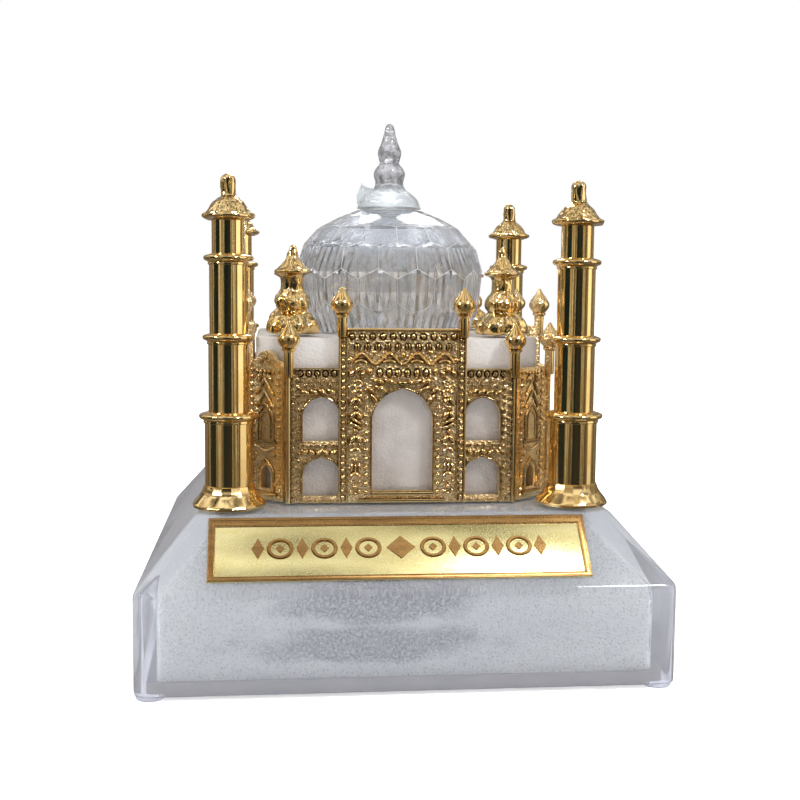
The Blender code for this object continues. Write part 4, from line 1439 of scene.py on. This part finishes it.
@dataclass
class Label:
    """Foil label on the front slope: bright field, darker frame and a generic pressed ornament."""

    slope_foot: Vector
    slope_top: Vector
    field_finish: Material
    frame_finish: Material
    width: float = 57.6 * MM
    length: float = 10.6 * MM
    centre: float = 0.54
    shift: float = -1.3 * MM
    border: float = 1.05 * MM
    inset: float = 0.02 * MM
    line_height: float = 0.57 * MM

    def matrix(self) -> Matrix:
        """From label coordinates (across, up the slope, out of it) to the part's frame."""
        along = (self.slope_top - self.slope_foot).normalized()
        out = Vector((1, 0, 0)).cross(along)
        turn = Matrix((Vector((1, 0, 0)), along, out)).transposed().to_4x4()
        middle = self.slope_foot.lerp(self.slope_top, self.centre) + Vector((self.shift, 0, 0))
        return Matrix.Translation(middle) @ turn

    def lozenge(self, x: float, wide: float, tall: float) -> Obj:
        """A raised diamond."""
        corners = ((x - wide, 0.0), (x, -tall), (x + wide, 0.0), (x, tall))
        shape = [(across, up, 0.4 * MM) for across, up in corners]
        return rounded(drawn("lozenge", shape, (0, 0, 0.16 * MM)), 0.05 * MM, 1)

    def ornament(self) -> list[Obj]:
        """A row of rings and lozenges, the same on both sides of the middle."""
        pieces = [self.lozenge(0.0, 2.2 * MM, 1.9 * MM)]
        for side in (-1, 1):
            for k in range(3):
                x = side * (4.9 + 6.6 * k) * MM
                angles = [step / 24 * math.tau for step in range(24)]
                ring = [(x + 1.7 * MM * math.cos(a), 1.45 * MM * math.sin(a), 0.42 * MM) for a in angles]
                pieces.append(strand("ring", ring, 0.32 * MM, closed=True))
                pieces.append(self.lozenge(x, 0.7 * MM, 0.7 * MM))
                pieces.append(self.lozenge(x + side * 3.3 * MM, 0.95 * MM, 1.75 * MM))
        return pieces

    def build(self) -> None:
        """Make and dress the plate and its darker frame and ornament."""
        w, h = self.width / 2, self.length / 2
        plate = block("foil", (-w, -h, 0.05 * MM), (w, h, 0.42 * MM))
        plate = rounded(plate, 0.06 * MM, 2)
        x, y, b = w - self.inset, h - self.inset, self.border
        outer = block("frame", (-x, -y, 0.3 * MM), (x, y, 0.56 * MM))
        hole = block("hole", (-w + b, -h + b * 0.75, 0.0), (w - b, h - b * 1.45, MM))
        carved(outer, "DIFFERENCE", [hole])
        rounded(outer, 0.07 * MM, 2)
        lines = []
        for grow, radius in ((0.35 * MM, 0.07 * MM), (0.95 * MM, 0.09 * MM)):
            x, low, high = w - grow, -h + grow * 0.75, h - grow * 1.4
            corners = ((-x, low), (x, low), (x, high), (-x, high))
            path = [(across, up, self.line_height) for across, up in corners]
            lines.append(strand("line", path, radius, closed=True))
        trim = joined([outer] + lines + self.ornament(), "label_frame")
        for piece in (plate, trim):
            piece.matrix_world = self.matrix()
            settle(piece)
            smoothed(piece, 40.0)
        dress(named(plate, "label_field"), self.field_finish, "gold_foil", "label_plate")
        dress(trim, self.frame_finish, "gold_foil", "label_plate")


@dataclass
class LightUnit:
    """The light unit's CAD pieces, which keep their shapes and get their finishes."""

    nodes: Mapping[str, Obj]
    finishes: Mapping[str, Material]

    def dress_all(self) -> None:
        """Give every carried-over CAD piece its finish."""
        for name, obj in self.nodes.items():
            if obj.hide_render:
                continue
            finish = self.finishes[self.kind(name)]
            obj.data.materials.clear()
            obj.data.materials.append(finish)
            LOG.info("%s kept from the frame", name)

    @staticmethod
    def kind(name: str) -> str:
        """Which finish a node takes."""
        table = {"light_housing": "white", "circuit_board": "board", "lamp": "lens",
                 "switch_body": "black", "switch_knob": "black", "bottom_plate": "backing",
                 "battery_door": "backing"}
        return table.get(name, "steel")


# --------------------------------------------------------------------------------------------
# Studio
# --------------------------------------------------------------------------------------------
@dataclass
class Studio:
    """Pale floor, soft lights, a striped surround for the gilt, and the camera."""

    camera_place: Spot = (-20.49 * MM, -208.97 * MM, 60.64 * MM)
    pan: float = 6.23
    tilt: float = -5.52
    roll: float = 0.60
    lens: float = 52.7
    aim: Spot = (0.0, 0.0, 45 * MM)
    lamps: tuple = (("key_right", (0.22, -0.30, 0.38), 0.07, 1.1),
                    ("key_left", (-0.36, -0.20, 0.28), 0.08, 0.8),
                    ("back_light", (0.05, 0.35, 0.35), 0.20, 0.6))

    def camera(self) -> None:
        """Set the camera at its place, looking slightly down on the front."""
        pan, tilt, roll = (math.radians(a) for a in (self.pan, self.tilt, self.roll))
        ahead = Vector((math.sin(pan) * math.cos(tilt), math.cos(pan) * math.cos(tilt), math.sin(tilt)))
        right = Vector((math.cos(pan), -math.sin(pan), 0.0))
        up = right.cross(ahead)
        side = right * math.cos(roll) + up * math.sin(roll)
        top = up * math.cos(roll) - right * math.sin(roll)
        data = bpy.data.cameras.new("camera")
        data.lens = self.lens
        data.sensor_width = 36.0
        data.clip_start = 0.005
        obj = bpy.data.objects.new("camera", data)
        bpy.context.collection.objects.link(obj)
        axes = Matrix((side, top, -ahead)).transposed().to_4x4()
        obj.matrix_world = Matrix.Translation(self.camera_place) @ axes
        bpy.context.scene.camera = obj

    def floor(self) -> None:
        """A pale floor that reflections look past."""
        deselect_all()
        bpy.ops.mesh.primitive_plane_add(size=4.0, location=(0, 0, 0))
        obj = named(bpy.context.active_object, "floor")
        made, g = new_graph("pale_floor")
        cloud = g.noise(3.0, 2.0)
        tone = g.blend(g.ramp(cloud, 0.3, 0.7), (0.93, 0.93, 0.93), (0.91, 0.91, 0.92))
        g.surface(Base_Color=tone, Roughness=0.9, Emission_Color=(1.0, 1.0, 1.0), Emission_Strength=0.42)
        obj.data.materials.append(made)
        obj.visible_glossy = False

    def surround(self) -> None:
        """White all round for the eye and for diffuse light, striped for reflections."""
        world = bpy.data.worlds.new("surround")
        bpy.context.scene.world = world
        g = Graph(world)
        way = g.node("ShaderNodeTexCoord", output="Generated")
        _, behind, height = g.axes(way)
        stripes = g.noise(1.5, 2.5, g.stretched(way, (1.0, 1.0, 0.10)), 0.55)
        patches = g.noise(4.5, 2.0, way)
        tone = g.stops(stripes, (
            (0.38, (0.006, 0.020, 0.024)), (0.468, (0.032, 0.030, 0.026)), (0.485, (0.28, 0.24, 0.17)),
            (0.50, (1.0, 0.92, 0.74)), (0.515, (0.08, 0.06, 0.045)), (0.58, (0.24, 0.20, 0.14)),
            (0.63, (1.5, 1.4, 1.2))))
        over = g.ramp(height, 0.25, 0.75)
        sinking = g.ramp(height, 0.0, -0.24)
        below = g.ramp(height, -0.2, -0.6)
        sky = g.stops(patches, ((0.40, (0.07, 0.06, 0.045)), (0.50, (0.48, 0.44, 0.39)),
                                (0.60, (1.4, 1.4, 1.4))))
        tone = g.blend(over * 0.85, tone, sky)
        tone = g.blend(sinking * 0.62, tone, (0.05, 0.045, 0.04))
        tone = g.blend(below * 0.6, tone, (0.16, 0.14, 0.12))
        tone = g.blend(g.ramp(behind, 0.55, 0.95) * 0.7, tone, (0.30, 0.28, 0.30))
        paths = g.node("ShaderNodeLightPath").socket.node.outputs
        glossy = Value(g, paths["Is Glossy Ray"])
        through = Value(g, paths["Is Transmission Ray"])
        clear_look = g.blend(0.25, (1.0, 1.0, 1.0), tone)
        seen = g.blend(glossy, (1.0, 1.0, 1.0), tone)
        seen = g.blend(through, seen, clear_look)
        back = g.node("ShaderNodeBackground", inputs={"Color": seen, "Strength": 1.0})
        g.node("ShaderNodeOutputWorld", inputs={"Surface": back})

    def lamp(self, name: str, place: Spot, size: float, power: float) -> None:
        """A square soft light aimed at the middle of the model."""
        data = bpy.data.lights.new(name, "AREA")
        data.shape = "SQUARE"
        data.size = size
        data.energy = power
        obj = bpy.data.objects.new(name, data)
        bpy.context.collection.objects.link(obj)
        aim = Vector(self.aim) - Vector(place)
        obj.matrix_world = Matrix.Translation(place) @ aim.to_track_quat("-Z", "Y").to_matrix().to_4x4()

    def build(self) -> None:
        """Set up everything that isn't the model."""
        scene = bpy.context.scene
        scene.view_settings.view_transform = "Standard"
        self.camera()
        self.floor()
        self.surround()
        for settings in self.lamps:
            self.lamp(*settings)


def finishes() -> dict[str, Material]:
    """Every material of the model, by its plain name."""
    wanted = {
        "gilt": PlatedGold("gilt_plate", hammer=0.0007, hammer_scale=620.0,
                           hammer_band=(71.3 * MM, 73.9 * MM), streak=0.000030),
        "gilt_kiosk": PlatedGold("gilt_hammered", hammer=0.0006, hammer_scale=560.0),
        "gilt_screen": PlatedGold("gilt_relief", Recess.FACADE, 25.28 * MM, 25.45 * MM, grain=0.00012,
                                  shade_reach=0.6 * MM),
        "gilt_corner": PlatedGold("gilt_corner_relief", Recess.CORNER, 30.7 * MM, 30.95 * MM, grain=0.00010,
                                  shade_reach=0.6 * MM),
        "clear": ClearPlastic("clear_styrene", (0.58, 0.58, 0.61), (0.17, 0.17, 0.18), 0.10,
                              ripple=0.0005, ripple_scale=950.0, transmission=0.75,
                              pale=(0.76, 0.81, 0.84), pale_from=78.6 * MM, pale_to=77.2 * MM),
        "clear_dome": ClearPlastic("dome_styrene", (0.78, 0.80, 0.84), (0.71, 0.73, 0.78), 0.05),
        "fluted": FlutedPlastic("dome_flutes"),
        # Partly painted highlight: the facet bevels take a whiter, rougher clear that draws bright lines
        # along the facet edges.
        "dome_edge": ClearPlastic("dome_edge_highlight", (0.90, 0.90, 0.90), (0.74, 0.74, 0.76), 0.25,
                                  transmission=0.7),
        "plinth": ClearPlastic("plinth_styrene", (0.87, 0.89, 1.0), (0.84, 0.86, 0.98), 0.10,
                               ripple=0.00003, transmission=0.8),
        # Painted shade: an opaque dark brown on the plinth's rebate stands in for the shadowed gap under the
        # bottom plate, seen through the clear plastic.
        "rim": Moulded("plinth_rebate_shade", (0.15, 0.125, 0.09), (0.09, 0.075, 0.055), 0.4),
        "grained": GrainedPlastic("grained_skin"),
        "frosted": ClearPlastic("frosted_styrene", (0.57, 0.525, 0.50), (0.48, 0.435, 0.41), 0.34, 0.00007,
                                2600.0, ripple=0.00006, ripple_scale=300.0, transmission=0.3,
                                pale=(0.74, 0.71, 0.69), pale_from=46.5 * MM, pale_to=48.5 * MM),
        "foil": Foil("foil_field", (0.93, 0.83, 0.42), (0.88, 0.77, 0.36)),
        "foil_dark": Foil("foil_frame", (0.42, 0.25, 0.09), (0.32, 0.18, 0.07), 0.32),
        "backing": Moulded("plate_plastic", (0.24, 0.21, 0.18), (0.19, 0.17, 0.15), 0.6),
        "white": Moulded("housing_plastic", (0.82, 0.82, 0.80), (0.76, 0.76, 0.73)),
        "black": Moulded("switch_plastic", (0.03, 0.03, 0.03), (0.05, 0.05, 0.05)),
        "board": Moulded("board_lacquer", (0.03, 0.20, 0.09), (0.02, 0.14, 0.07), 0.35),
        "steel": Moulded("nickel_plate", (0.72, 0.71, 0.69), (0.60, 0.59, 0.57), 0.25, 1.0, 0.000004),
        "lens": Lamp("lamp_lens"),
    }
    return {key: finish.build() for key, finish in wanted.items()}


def main() -> None:
    """Build every piece around the frame, in order."""
    logging.basicConfig(level=logging.INFO, format="%(name)s: %(message)s")
    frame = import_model()
    look = finishes()
    Studio().build()
    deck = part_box("facade_front")[0].z
    corner_low, corner_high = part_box("corner_panel_front_right")
    crest_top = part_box("corner_panel_front_left")[1].z
    tower_low, tower_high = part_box("minaret_back_right")
    kiosk_low, kiosk_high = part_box("kiosk_back_right")
    dome_low, dome_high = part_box("dome")
    block_low, block_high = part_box("inner_block")
    plinth_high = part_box("base_shell")[1]
    bay_top = corner_high.z
    tower_offset = (tower_low.x + tower_high.x) / 2
    kiosk_offset = (kiosk_low.x + kiosk_high.x) / 2
    Minaret(deck, tower_offset, look["gilt"]).build()
    Kiosk(block_high.z + GAP, kiosk_high.z, kiosk_offset, look["gilt_kiosk"]).build()
    Facade(deck, FACADE_PLANE, bay_top, bay_top + PORTAL_RISE, look["gilt_screen"]).build()
    CornerPanel(corner_low.z, CORNER_PLANE, bay_top, crest_top, look["gilt_corner"]).build()
    Block(block_low, block_high, block_high.x, BLOCK_CORNER_PLANE, look["frosted"]).build()
    Dome(dome_low.z, dome_high.z, [look["clear_dome"], look["fluted"], look["dome_edge"]]).build()
    Finial(dome_high.z + GAP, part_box("finial")[1].z, look["clear"]).build()
    plinth = Plinth(plinth_high, [look["plinth"], look["grained"], look["rim"]])
    plinth.build()
    slope_foot = Vector((0, -plinth_high.x, plinth.wall_top))
    slope_top = Vector((0, -plinth.deck_half, plinth_high.z))
    Label(slope_foot, slope_top, look["foil"], look["foil_dark"]).build()
    LightUnit(frame["nodes"], look).dress_all()
    deselect_all()


if __name__ == "__main__":
    main()
